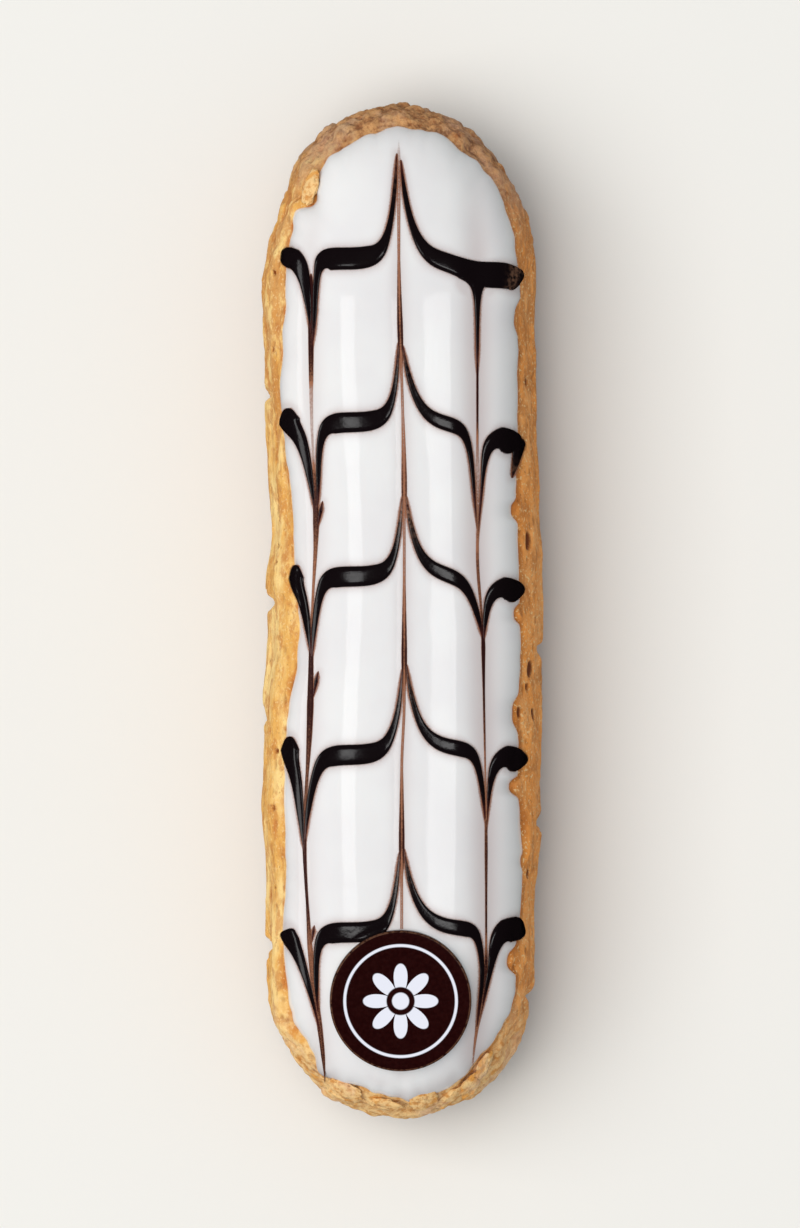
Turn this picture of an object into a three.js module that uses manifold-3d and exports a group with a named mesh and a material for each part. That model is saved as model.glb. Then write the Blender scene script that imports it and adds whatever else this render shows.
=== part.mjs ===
// An iced eclair: a long choux bun with ridged, craggy sides, a skin of white icing over its back
// with feathered chocolate lines fused on, and a chocolate disc set in the icing near one end.
// Millimetres, +Z up, +Y along the bun. The origin is under the middle of the flat base.

import * as THREE from 'three';
import { LoftGeometry } from 'three/addons/geometries/LoftGeometry.js';
import { mergeVertices } from 'three/addons/utils/BufferGeometryUtils.js';
import Module from 'manifold-3d';

const { lerp, smoothstep } = THREE.MathUtils;

// Choux bun
const BUN_LENGTH = 139.4;
const BUN_WIDTH = 37;
const BUN_HEIGHT = 27;
const WAIST_HEIGHT = 11.5; // level of the widest section
const BASE_WIDTH = 25; // flat underside
const FAR_CAP = 27; // length of the tapered end at +Y
const NEAR_CAP = 20.5; // length of the blunter end at -Y
const DOME_POWER = 2.7; // 2 is an ellipse, more is squarer
const BEND = { size: 0.55, length: 78, crest: 3, middle: 10, fade: 50 }; // sideways wander
const SWELL = { size: 0.33, length: 66, crest: -18.5 }; // change of the half width

// Crust relief on the bare sides
const RIDGE = { pitch: 5.3, height: 0.4, lostAtEnds: 0.7 }; // piped, following the outline
const CRAG = { size: 9, height: 0.45 }; // slow lumps all over
const END_CRAG = { size: 3.3, height: 0.75, from: 40, to: 62 }; // broken crust towards the ends
const CHIP = { depth: 0.9, radius: 1.7 }; // torn notches in the widest line
const CHIPS_LEFT = [29.2, 1.2, -14.3, -46];
const CHIPS_RIGHT = [-5.1, -29.1, -55.7];
const BASE_FADE = 4; // the relief dies out over this distance from the base
const EDGE_FADE = 1.3; // and over this distance from the icing

// Icing
const ICING_THICKNESS = 2;
const SEAT_GAP = 0.4;
const ICING_MARGIN = 2.8; // bare crust outside the icing, seen from above
const RIM_POWER = 10; // how sharply the icing rounds off at its edge
// Bays and tongues of the edge: x, y, how far it draws back, and over what width
const EDGE_WAVES = [
  [-16.4, 56.6, 2.2, 1.6],
  [-18.8, 43, 0.4, 8],
  [-18.8, 29, -0.8, 9],
  [-18.8, -4, 1.2, 8],
  [-18.8, -45, -0.8, 6],
  [13.5, 61, -0.8, 7],
  [18.8, 43, -0.6, 12],
  [18.8, 14.6, 0.6, 1.8],
  [18.8, -1, 0.7, 1.8],
  [18.8, -14.3, 0.7, 2.5],
  [18.8, -24.4, 0.9, 2],
  [18.8, -39.8, -1, 6],
  [18.8, -48.8, 1.3, 2.2],
  [13, -63, 0.7, 5],
  [3.9, -68, 0.8, 1.8],
  [-9, -65.5, 1, 2.5],
];

// Feathered chocolate lines: piped across in rows, then drawn up the middle and down both sides
const ROWS = [
  { y: 48.8, rightDrop: 2.1, leftRise: 0.1, hook: 0.3, peak: 15 },
  { y: 25.8, rightDrop: 2, leftRise: 0.45, hook: 3, peak: 11.7 },
  { y: 4.7, rightDrop: 0.5, leftRise: 0.45, hook: 2.6, peak: 11.7 },
  { y: -19.3, rightDrop: 0.4, leftRise: 0.45, hook: 2.6, peak: 11.7 },
  { y: -44.2, rightDrop: -0.2, leftRise: 0.45, hook: 0, peak: 11.7 },
];
const DRAW_LEFT = -12.3;
const DRAW_RIGHT = 10.8;
const DRAW_DEPTH = 12.4; // how far a side stroke pulls the chocolate down
const PULL_LENGTH = { leftOuter: 1.5, leftInner: 0.88, midLeft: 1.07, midRight: 1.86, right: 0.88 };
const HOOK_START = 14.2; // the right ends bend down outside this line
const LINE_WIDTHS = { leftOuter: 2.9, leftInner: 2.75, rightInner: 2.3, rightOuter: 2.75 };
const LINE_HEIGHT = 0.55; // rise of a line above the icing
const LINE_INSET = 0.9; // how far its ends stay inside the icing's edge
const THIN_LINE = 0.2; // least half width, in a drawn-out tail

// Chocolate disc
const DISC_DIAMETER = 19.6;
const DISC_THICKNESS = 1.8;
const DISC_BEVEL = 0.3;
const DISC_Y = -53.6;
const DISC_SINK = 1.2; // depth of its middle in the icing
const DISC_TILT = 5; // degrees, its outer side lower
const DISC_GAP = 0.3;

// Fineness of the facets
const SIDE_STEPS = 44;
const CAP_STEPS = 28;
const FLANK_STEPS = 8;
const BROW_STEPS = 8;
const SEAT_RINGS = [1, 0.88, 0.7, 0.4, 0]; // fractions of the icing's reach
const TOP_RINGS = [0.985, 0.95, 0.87, 0.7, 0.45, 0];
const LINE_SAMPLES = 60;
const LINE_STEPS = 9;
const LINE_SIDES = 6;
const DISC_SIDES = 48;
const SAME_POINT = 1e-5; // points closer than this are one

const HALF_WIDTH = BUN_WIDTH / 2;
const BASE_HALF = BASE_WIDTH / 2;
const DOME_RISE = BUN_HEIGHT - WAIST_HEIGHT;
const SPINE_FAR = BUN_LENGTH / 2 - FAR_CAP;
const SPINE_NEAR = NEAR_CAP - BUN_LENGTH / 2;

const bell = (distance, width) => Math.exp(-((distance / width) ** 2));
const wave = (y, { length, crest }) => Math.cos((2 * Math.PI * (y - crest)) / length);
const bend = (y) => BEND.size * wave(y, BEND) * bell(y - BEND.middle, BEND.fade);
const swell = (y) => 1 + (SWELL.size / HALF_WIDTH) * wave(y, SWELL);

// Height of the smooth dome at a distance from the spine.
function dome(r) {
  const across = Math.min(r / HALF_WIDTH, 1) ** DOME_POWER;
  return WAIST_HEIGHT + DOME_RISE * (1 - across) ** (1 / DOME_POWER);
}

// A fixed number from 0 to 1 for each corner of a grid.
function cornerValue(i, j, k) {
  const value = Math.sin(i * 12.9898 + j * 78.233 + k * 37.719) * 43758.5453;
  return value - Math.floor(value);
}

// Smooth lumps from -1 to 1 with one corner value per unit cube.
function lumps(x, y, z) {
  const [i, j, k] = [x, y, z].map(Math.floor);
  const [a, b, c] = [x - i, y - j, z - k].map((t) => t * t * (3 - 2 * t));
  const edge = (m, n) => lerp(cornerValue(i, m, n), cornerValue(i + 1, m, n), a);
  const face = (n) => lerp(edge(j, n), edge(j + 1, n), b);
  return 2 * lerp(face(k), face(k + 1), c) - 1;
}

// How far the icing's edge lies inside the outline at a plan point of the outline.
function icingMargin(x, y) {
  let margin = ICING_MARGIN;
  for (const [waveX, waveY, depth, width] of EDGE_WAVES) {
    margin += depth * bell(Math.hypot(x - waveX, y - waveY), width);
  }
  return margin;
}

// A point of the bun's frame: out from the spine at one station, at a height.
function place(station, r, z) {
  const y = station.y + r * station.dy;
  return new THREE.Vector3(r * station.dx * swell(y) + bend(y), y, z);
}

// One station of the outline: where on the spine it belongs, its outward direction, and
// how far the icing reaches from the spine.
function newStation(y, dx, dy) {
  const station = { y, dx, dy };
  const rim = place(station, HALF_WIDTH, 0);
  station.reach = HALF_WIDTH - icingMargin(rim.x, rim.y) / Math.hypot(dx, dy);
  return station;
}

// Stations round the outline, counterclockwise from above: up the right side, round the far end,
// down the left side and round the near end.
function outlineStations() {
  const stations = [];
  for (const side of [1, -1]) {
    const [start, end, cap] =
      side > 0 ? [SPINE_NEAR, SPINE_FAR, FAR_CAP] : [SPINE_FAR, SPINE_NEAR, NEAR_CAP];
    for (let i = 0; i < SIDE_STEPS; i++) {
      stations.push(newStation(lerp(start, end, i / SIDE_STEPS), side, 0));
    }
    for (let i = 0; i < CAP_STEPS; i++) {
      const angle = (Math.PI * i) / CAP_STEPS;
      const dy = (side * Math.sin(angle) * cap) / HALF_WIDTH;
      stations.push(newStation(end, side * Math.cos(angle), dy));
    }
  }
  return stations;
}

const STATIONS = outlineStations();

// A closed body: points that fall together become one, and flattened triangles are dropped.
function closed(geometry) {
  const bare = new THREE.BufferGeometry();
  bare.setAttribute('position', geometry.attributes.position);
  bare.setIndex(geometry.index);
  const merged = mergeVertices(bare, SAME_POINT);
  const corners = merged.index.array;
  const kept = [];
  for (let t = 0; t < corners.length; t += 3) {
    const [a, b, c] = corners.slice(t, t + 3);
    if (a !== b && b !== c && c !== a) kept.push(a, b, c);
  }
  merged.setIndex(kept);
  return merged;
}

// Profile of the bare side at one station: a quarter ellipse from the base out to the waist, then
// the dome up to the icing, each point with its distance along the profile from the waist.
function sideProfile(reach) {
  const points = [];
  for (let i = 0; i <= FLANK_STEPS; i++) {
    const angle = (Math.PI / 2) * (i / FLANK_STEPS);
    points.push({
      r: lerp(BASE_HALF, HALF_WIDTH, Math.sin(angle)),
      z: WAIST_HEIGHT * (1 - Math.cos(angle)),
    });
  }
  const lastAngle = Math.acos((reach / HALF_WIDTH) ** (DOME_POWER / 2));
  for (let i = 1; i < BROW_STEPS; i++) {
    const r = HALF_WIDTH * Math.cos((lastAngle * i) / BROW_STEPS) ** (2 / DOME_POWER);
    points.push({ r, z: dome(r) });
  }
  points.push({ r: reach, z: dome(reach) });
  points[0].arc = 0;
  for (let i = 1; i < points.length; i++) {
    const step = Math.hypot(points[i].r - points[i - 1].r, points[i].z - points[i - 1].z);
    points[i].arc = points[i - 1].arc + step;
  }
  return points;
}

// Chips bitten out of the widest line, deepest at their middles.
function chipDepth(point) {
  const middles = point.x < 0 ? CHIPS_LEFT : CHIPS_RIGHT;
  const reach = Math.max(...middles.map((y) => bell(point.y - y, CHIP.radius)));
  return CHIP.depth * reach * bell(point.z - WAIST_HEIGHT, 2 * CHIP.radius);
}

// Height of the crust over the smooth side: ridges, lumps, broken ends and chips.
function crustRelief(point, fromWaist) {
  const ridges = -RIDGE.height * Math.cos((2 * Math.PI * fromWaist) / RIDGE.pitch);
  const lump = point.clone().divideScalar(CRAG.size);
  const broken = point.clone().divideScalar(END_CRAG.size);
  const end = smoothstep(Math.abs(point.y), END_CRAG.from, END_CRAG.to);
  return (
    ridges * (1 - RIDGE.lostAtEnds * end) +
    CRAG.height * lumps(lump.x, lump.y, lump.z) +
    END_CRAG.height * end * lumps(broken.x, broken.y, broken.z) -
    chipDepth(point)
  );
}

// Points up the bun at one station: the flat base, the bare side with its relief, and the smooth
// seat under the icing.
function bunColumn(station) {
  const side = sideProfile(station.reach);
  const waist = side[FLANK_STEPS].arc;
  const top = side.at(-1).arc;
  const column = [place(station, 0, 0)];
  side.forEach(({ r, z, arc }, i) => {
    const before = side[Math.max(i - 1, 0)];
    const after = side[Math.min(i + 1, side.length - 1)];
    const slope = new THREE.Vector2(after.z - before.z, before.r - after.r).normalize();
    const fade = smoothstep(arc, 0, BASE_FADE) * smoothstep(top - arc, 0, EDGE_FADE);
    const height = fade * crustRelief(place(station, r, z), arc - waist);
    column.push(place(station, r + height * slope.x, z + height * slope.y));
  });
  for (const fraction of SEAT_RINGS.slice(1)) {
    const r = fraction * station.reach;
    column.push(place(station, r, dome(r)));
  }
  return column;
}

// Top of the icing, rounded off at its edge.
function icingTop(r, reach) {
  const rim = Math.min(r / reach, 1) ** RIM_POWER;
  return dome(r) + SEAT_GAP + ICING_THICKNESS * Math.sqrt(1 - rim);
}

// Points of the icing at one station: out along its seat, then back over its top.
function icingColumn(station) {
  const column = SEAT_RINGS.map((fraction) => {
    const r = fraction * station.reach;
    return place(station, r, dome(r) + SEAT_GAP);
  }).reverse();
  for (const fraction of TOP_RINGS) {
    const r = fraction * station.reach;
    column.push(place(station, r, icingTop(r, station.reach)));
  }
  return column;
}

// A body skinned round one column of points per station, from rings that close up on the spine.
function bodyFromColumns(columnOf) {
  const columns = STATIONS.map(columnOf);
  const rings = columns[0].map((_, ring) => columns.map((column) => column[ring]));
  return closed(new LoftGeometry(rings));
}

// The icing's surface over a plan point, and how far that lies inside the icing's edge.
function icingSurface(x, y) {
  const [end, cap] = y > 0 ? [SPINE_FAR, FAR_CAP] : [SPINE_NEAR, NEAR_CAP];
  const past = Math.abs(y) > Math.abs(end) ? y - end : 0;
  const across = (x - bend(y)) / swell(y);
  const r = Math.max(Math.hypot(across, (past * HALF_WIDTH) / cap), SAME_POINT);
  const { reach } = newStation(y - past, across / r, past / r);
  return { inside: reach - r, point: new THREE.Vector3(x, y, icingTop(r, reach)) };
}

// Outward normal of the icing over a plan point, from the slopes across and along.
function icingNormal({ x, y }) {
  const step = 0.05;
  const height = (u, v) => icingSurface(u, v).point.z;
  const slopeX = (height(x + step, y) - height(x - step, y)) / (2 * step);
  const slopeY = (height(x, y + step) - height(x, y - step)) / (2 * step);
  return new THREE.Vector3(-slopeX, -slopeY, 1).normalize();
}

// The plan line that one row follows after drawing: it peaks on the middle stroke, sags
// exponentially towards each side stroke, and bends down at its right end.
function rowLine(row, x) {
  const pull = (from, before, after) => Math.exp(-Math.abs(x - from) / (x < from ? before : after));
  const { leftOuter, leftInner, midLeft, midRight, right } = PULL_LENGTH;
  const hook = Math.max(x - HOOK_START, 0) / (HALF_WIDTH - ICING_MARGIN - HOOK_START);
  return (
    row.y -
    (x > 0 ? row.rightDrop : 0) +
    row.leftRise * Math.max(DRAW_LEFT - x, 0) -
    row.hook * hook ** 2 +
    row.peak * pull(0, midLeft, midRight) -
    DRAW_DEPTH * pull(DRAW_LEFT, leftOuter, leftInner) -
    DRAW_DEPTH * pull(DRAW_RIGHT, right, right)
  );
}

// One stretch of a row between two strokes, as a flat tube half sunk in the icing. Its width
// along Y stays the same, so that it thins out as the line turns towards a stroke.
function lineBody(row, from, to, width) {
  const path = [];
  for (let i = 0; i <= LINE_SAMPLES; i++) {
    const x = lerp(from, to, i / LINE_SAMPLES);
    const { inside, point } = icingSurface(x, rowLine(row, x));
    if (inside > LINE_INSET) path.push(point);
  }
  const spine = new THREE.CatmullRomCurve3(path);
  const middles = spine.getSpacedPoints(LINE_STEPS);
  const rings = middles.map((middle, step) => {
    const tangent = spine.getTangentAt(step / LINE_STEPS);
    const normal = icingNormal(middle);
    const across = normal.clone().cross(tangent).normalize();
    const up = tangent.clone().cross(across);
    const end = step === 0 || step === LINE_STEPS;
    const half = end ? 0 : Math.max((width / 2) * Math.abs(tangent.x), THIN_LINE);
    const rise = LINE_HEIGHT * Math.min(1, Math.sqrt(half));
    return Array.from({ length: LINE_SIDES }, (_, side) => {
      const angle = (2 * Math.PI * side) / LINE_SIDES;
      return middle
        .clone()
        .addScaledVector(across, half * Math.cos(angle))
        .addScaledVector(up, rise * Math.sin(angle));
    });
  });
  return closed(new LoftGeometry(rings));
}

// Every stretch of every row, from the left edge of the icing to the right.
function chocolateLines() {
  const stretches = [
    [-HALF_WIDTH, DRAW_LEFT, LINE_WIDTHS.leftOuter],
    [DRAW_LEFT, 0, LINE_WIDTHS.leftInner],
    [0, DRAW_RIGHT, LINE_WIDTHS.rightInner],
    [DRAW_RIGHT, HALF_WIDTH, LINE_WIDTHS.rightOuter],
  ];
  return ROWS.flatMap((row) => stretches.map((stretch) => lineBody(row, ...stretch)));
}

// The disc as a turned body with bevelled edges, larger all round by a clearance.
function discGeometry(clearance) {
  const radius = DISC_DIAMETER / 2 + clearance;
  const low = -clearance;
  const high = DISC_THICKNESS + clearance;
  const profile = [
    [0, low],
    [radius - DISC_BEVEL, low],
    [radius, low + DISC_BEVEL],
    [radius, high - DISC_BEVEL],
    [radius - DISC_BEVEL, high],
    [0, high],
  ].map(([r, z]) => new THREE.Vector2(r, z));
  return closed(new THREE.LatheGeometry(profile, DISC_SIDES).rotateX(Math.PI / 2));
}

// Place of the disc: its underside sunk in the icing and tipped towards the near end.
function setDisc(target) {
  const icing = icingSurface(bend(DISC_Y), DISC_Y).point;
  target.position.set(icing.x, icing.y, icing.z - DISC_SINK);
  target.rotation.x = THREE.MathUtils.degToRad(DISC_TILT);
  return target;
}

const wasm = await Module();
wasm.setup();

// A closed geometry as a solid that can be joined and cut.
function solid(geometry) {
  return new wasm.Manifold(
    new wasm.Mesh({
      numProp: 3,
      vertProperties: new Float32Array(geometry.attributes.position.array),
      triVerts: new Uint32Array(geometry.index.array),
    }),
  );
}

// The geometry of a solid.
function geometryOf(body) {
  const { vertProperties, triVerts } = body.getMesh();
  const geometry = new THREE.BufferGeometry();
  geometry.setAttribute('position', new THREE.BufferAttribute(vertProperties, 3));
  geometry.setIndex(new THREE.BufferAttribute(triVerts, 1));
  return geometry;
}

// The icing with its lines fused on and a shallow recess for the disc.
function icingGeometry() {
  const recess = setDisc(new THREE.Object3D());
  recess.updateMatrix();
  let icing = solid(bodyFromColumns(icingColumn));
  for (const line of chocolateLines()) icing = icing.add(solid(line));
  return geometryOf(icing.subtract(solid(discGeometry(DISC_GAP).applyMatrix4(recess.matrix))));
}

function piece(name, geometry, color, roughness) {
  const mesh = new THREE.Mesh(
    geometry,
    new THREE.MeshStandardMaterial({ color, roughness, metalness: 0 }),
  );
  mesh.name = name;
  return mesh;
}

const eclair = new THREE.Group();
eclair.add(piece('choux_bun', bodyFromColumns(bunColumn), 0xd3a066, 0.75));
eclair.add(piece('icing', icingGeometry(), 0xebe8e8, 0.2));
eclair.add(setDisc(piece('chocolate_disc', discGeometry(0), 0x1c0b0a, 0.45)));

export default eclair;
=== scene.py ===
import itertools
import math
from functools import partialmethod
from types import SimpleNamespace as Values

import bmesh
import bpy
import numpy as np
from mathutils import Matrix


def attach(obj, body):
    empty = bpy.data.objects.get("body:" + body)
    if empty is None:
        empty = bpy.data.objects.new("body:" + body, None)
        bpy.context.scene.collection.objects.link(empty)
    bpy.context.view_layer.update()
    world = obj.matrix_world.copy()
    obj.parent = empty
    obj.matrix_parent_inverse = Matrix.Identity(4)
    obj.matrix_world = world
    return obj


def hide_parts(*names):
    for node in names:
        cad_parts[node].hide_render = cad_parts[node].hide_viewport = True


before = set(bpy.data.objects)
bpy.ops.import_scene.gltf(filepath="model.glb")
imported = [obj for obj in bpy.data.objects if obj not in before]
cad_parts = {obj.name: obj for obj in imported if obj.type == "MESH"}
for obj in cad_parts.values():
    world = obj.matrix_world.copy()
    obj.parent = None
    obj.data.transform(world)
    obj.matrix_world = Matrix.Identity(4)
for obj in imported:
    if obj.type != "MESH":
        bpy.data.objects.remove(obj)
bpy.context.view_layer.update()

# Sizes are in millimetres, in the frame of the solids: +Y along the bun, +Z up.
MM = 0.001
SMALL = 1e-6
TINY = 1e-9

# Choux bun: a long loaf with half-ellipse ends, widest at its waist.
BUN_LENGTH = 139.4
BUN_WIDTH = 37.0
BUN_HEIGHT = 27.0
WAIST_HEIGHT = 11.5
BASE_WIDTH = 25.0
FAR_CAP = 26.4
NEAR_CAP = 20.5
DOME_POWER = 2.7
HALF_WIDTH = BUN_WIDTH / 2
BASE_HALF = BASE_WIDTH / 2
DOME_RISE = BUN_HEIGHT - WAIST_HEIGHT
SPINE_FAR = 42.7
SPINE_NEAR = NEAR_CAP - BUN_LENGTH / 2

# The loaf is a little bent and a little swollen, as piped dough is.
BEND = Values(size=0.55, length=78.0, crest=3.0, middle=10.0, fade=50.0)
SWELL = Values(size=0.33, length=66.0, crest=-18.5)
SHOULDER = Values(left=0.12, right=0.03, run=(54, 64))

# Layers of lumps: height, what a rough place adds to it, size, and the stretch of the random field.
RIDGE_LUMPS = ((0.7, 0, (30, 22, 30), 3.3),)
SKIN_LUMPS = ((0.14, 0.08, (1.5, 3.4, 1.5), 5.7), (0.08, 0.12, 0.9, 8.3))
CHIP_LUMPS_Y = ((0.8, 0, 1.9, 2.9),)
CHIP_LUMPS_Z = ((2.0, 0, 2.6, 7.9),)
EDGE_LUMPS = ((0.2, 0.45, 3.6, 6.4), (0.1, 0.15, 1.5, 2.2))
ICING_LUMPS = ((0.05, 0, 15, 4.2), (0.02, 0, 6, 9.1))
LINE_LUMPS = ((0.035, 0, 1.7, 3.1),)
DISC_LUMPS = ((0.03, 0, 5, 1.4),)

# Crust relief. Chips are levels along each side, bulges are x, y, height and radius.
RIDGE = Values(pitch=5.3, height=0.32, lost_at_ends=0.7, lost_above=0.8, fade=(1.5, 4.5))
CRAG = Values(size=9.0, height=0.45)
END_CRAG = Values(size=3.3, height=0.42, run=(42, 62), low=0.4, rise=(-6, 1), near=0.5)
CREASE = Values(size=2.8, shift=4.4, depth=0.2, width=0.14)
CHIP = Values(depth=1.15, radius=1.2, tall=4.4)
CHIPS_LEFT = (29.6, 1.5, -14.4, -46.1)
CHIPS_RIGHT = (-5.2, -28.8, -53.2)
BULGES = (
    (-18.4, 5.4, 0.95, 4.5), (18.2, -30.5, 0.85, 6.0), (-17.6, -56.4, 0.75, 4.5), (18.0, 18.0, 0.6, 4.0),
    (18.0, 42.5, -0.55, 6.0), (-4.0, 69.5, 0.45, 6.0), (-18.2, -12.0, 0.4, 4.0),
)
BASE_FADE = 4.0
EDGE_FADE = 1.3
BUBBLE_FADE = 0.3

# Marks that the crust's colours follow: the strength of each, and the run over which it grows. Some are
# painted
# # shade: the right side, a band along the icing's edge, pores, and hollows and creases.
RIGHT_SHADE_RUN = (-6, 8)
FAR_END = Values(slant=0.2, run=(50, 65))
NEAR_RUN = (50, 64)
GROOVE_MARK = Values(plain=0.42, ridge=0.5)
EDGE_SHADE_MARK = Values(left=0.85, more_right=0.45, width=1.3)
PORE_SHADE_MARK = Values(small=0.4, run=(0.2, 0.6))
TORN_MARK = Values(strength=0.35, run=(0.3, 0.8))
HOLLOW_SHADE_MARK = Values(run=(-0.1, 0.3), crease=0.7)

# Icing: a skin over the crown. Furrows are the depth and width along each drawn line, and waves are the
# small bays and bulges of its edge: x, y, depth and width.
ICING_THICKNESS = 2.0
SEAT_GAP = 0.4
ICING_MARGIN = 2.8
RIM_POWER = 10
LIP_POWER = 30
LIP_TUCK = 0.1
BRIDGED_EDGE = 0.955
DRAPE = Values(loss=0.85, run=1.1)
FURROWS = ((0.12, 1.2), (0.1, 0.9), (0.5, 2.3))
COLLAR = Values(height=0.22, width=0.7, inside=-1.5)
RAGGED_ENDS = (46, 66)
LEAST_STEP = 0.5
FLAT_BITE = 2.2
EDGE_WAVES = (
    (-3.6, 69.2, 0.5, 1.1), (-10.4, 66.9, 0.5, 1.1), (-14.8, 62.4, 0.9, 4.5), (-16.2, 59.5, 1.2, 1.7),
    (-17.2, 55.9, -0.9, 1.5), (-18.8, 43.0, 0.4, 8.0), (-18.8, 29.0, -0.8, 9.0), (-18.8, -4.0, 1.2, 8.0),
    (-18.8, -45.0, -0.8, 6.0), (13.5, 61.0, -0.8, 7.0), (18.8, 43.0, -0.6, 12.0), (18.8, 40.3, 0.7, 2.1),
    (18.8, 27.0, -0.4, 5.0), (18.8, 13.8, 0.8, 1.3), (18.8, -0.4, 0.85, 1.2), (18.8, -14.0, 0.9, 2.1),
    (18.8, -24.1, 1.2, 1.2), (18.8, -34.4, 0.4, 1.1), (18.8, -36.0, -1.2, 9.0), (18.8, -48.0, 1.3, 1.8),
    (17.8, -55.5, -0.3, 4.0), (12.5, -65.0, 0.4, 3.0), (3.9, -68.0, 0.5, 1.8), (-7.5, -68.5, 0.5, 2.0),
    (-13.0, -65.0, -1.9, 2.6), (-17.0, -57.0, -0.6, 5.0),
)

# Feathering: rows of chocolate piped across, then drawn by a point along three lines. There is a column for
# each row, from the far end. A stroke beside an outer line has the depth it is drawn to, the length of its
# curve and the gap that it keeps to the line.
ROW_TABLE = {
    "y": (48.8, 25.8, 4.7, -19.3, -44.0),
    "left_drop": (0.6, 0.0, 0.0, 0.4, 0.0),
    "mid_drop": (1.5, 0.5, 0.0, -0.3, -0.4),
    "outer_drop": (2.8, 2.2, 1.4, 0.7, -0.4),
    "peak": (14.9, 11.5, 11.5, 12.2, 11.5),
    "film": (1.0, 1.0, 0.76, 1.0, 1.0),
    "band": (3.0, 2.7, 2.7, 2.7, 2.7),
    "right_band": (2.7, 2.05, 2.05, 2.05, 2.05),
    "bare_tip": (0.4, 0.4, 1.3, 0.4, 0.4),
    "left_outer": ((11, 0.78, 0), (12.8, 1, 0.2), (11, 1.25, 0), (14, 1.3, 0), (14, 1.3, 0)),
    "left_inner": ((13, 0.42, 0.45), (13, 0.65, 0.35), (12, 0.58, 0.1), (13, 0.75, 0), (12, 0.62, 0)),
    "right_inner": ((0, 1, 0), (14.5, 0.75, 0.3), (9, 1.1, 0), (11, 0.6, 0), (15, 0.45, 0)),
    "right_outer": ((0, 1, 0), (16, 0.55, 0.35), (8, 0.82, 0), (11, 0.62, 0), (15, 0.65, 0)),
    "left_end": (17.0, 15.8, 15.15, 15.2, 15.7),
    "left_width": (3.0, 2.9, 2.1, 2.5, 2.2),
    "left_taper": (4.5, 5.5, 6.0, 7.0, 4.5),
    "left_rise": (0.0, 0.1, 0.25, 0.5, 0.38),
    "spike": (0.0, 2.5, 2.6, 2.8, 0.6),
    "blunt": (0.75, 0.0, 0.0, 0.0, 1.0),
    "right_end": (17.0, 16.5, 16.6, 16.1, 16.4),
    "right_width": (3.6, 3.5, 3.2, 3.5, 3.4),
    "right_taper": (7.0, 2.6, 2.8, 2.4, 3.2),
    "hook": (0.7, 1.5, 1.4, 2.3, -0.4),
    "bare_end": (1.0, 0.0, 0.0, 0.0, 0.0),
    "bridge": (3.2, 0.0, 0.0, 0.0, 0.0),
}
ROWS = [Values(**dict(zip(ROW_TABLE, column))) for column in zip(*ROW_TABLE.values())]

# Drawn lines: straight courses, and the wander of each from it: where it starts, its bells (middle, width,
# size) and its steps towards the near end (from, to, size).
DRAW_LEFT = -12.45
DRAW_RIGHT = 10.8
WANDER = (
    (0.0, ((12, 10, 0.7), (-31, 12, -0.9)), ((44, 66, 1.9),)),
    (-0.45, (), ((-50, -15, 0.75), (12, 22, -0.35))),
    (-0.5, (), ((-8, 5, 0.8), (2, 34, 0.4), (47, 63, -1.8))),
)
ON_LINE = 1e-3
MIDDLE_PULL = Values(left=1.07, right=1.86)
MIDDLE_GAP = 0.26
GAP_FADE = 0.6
GAP_CLOSE = (7.5, 15.5)

# Strokes: their ends, and how full they stand (the most half width that counts, and its power).
BRIDGE_SPREAD = (-1.5, 0.5)
HOOK_START = 14.0
HOOK_RUN = 2.4
SPIKE_RUN = 0.45
SPIKE_POWER = 1.5
START_RUN = 5.0
HEAD_LENGTH = 2.2
HEAD_POWER = 0.6
BLOB_LENGTH = 3.0
TAIL = Values(left=(1.0, 0.4), right=(0.8, 0.3), middle=0.5, share=0.45, run=(0.3, 0.6))
BARE_RUN = (1, 8)
BARE_PATCH = Values(back=1.6, width=0.7)
WHOLE_ROUND = 0.7
BODY = {"band": (1, 0.7), "left": (1.3, 0.9), "right": (1.3, 1), "stem": (1, 0.8), "drip": (1, 1)}
STEM = Values(
    thin=0.2, flare=0.92, flare_run=0.7, body=0.6, body_run=3.0, length=14.0, crowd=1.5,
    above=0.8, foot=0.9, top=-0.5, start=0.05, round=0.5, point=5,
)
DRIP = Values(
    x=16.05, top=23.9, bottom=18.2, lean=1.0, curl=1.6, width=2.2, start=6, narrow=0.45,
    bare=0.5, bare_at=0.8, bare_width=0.15,
)
BARBS = (
    (-10.85, 15.1, -11.65, 11.0, 0.26), (-11.45, -8.2, -12.25, -12.2, 0.26),
    (-12.0, -43.0, -12.4, -45.6, 0.2),
)
BARB = Values(rise=3, fall=1.5, power=0.7)
LINE_HEIGHT = 0.32
LINE_SINK = 0.5
ARCH_POWER = 6
THIN_MARK = Values(power=5, edge=0.6, half=0.45, run=0.4)

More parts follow.
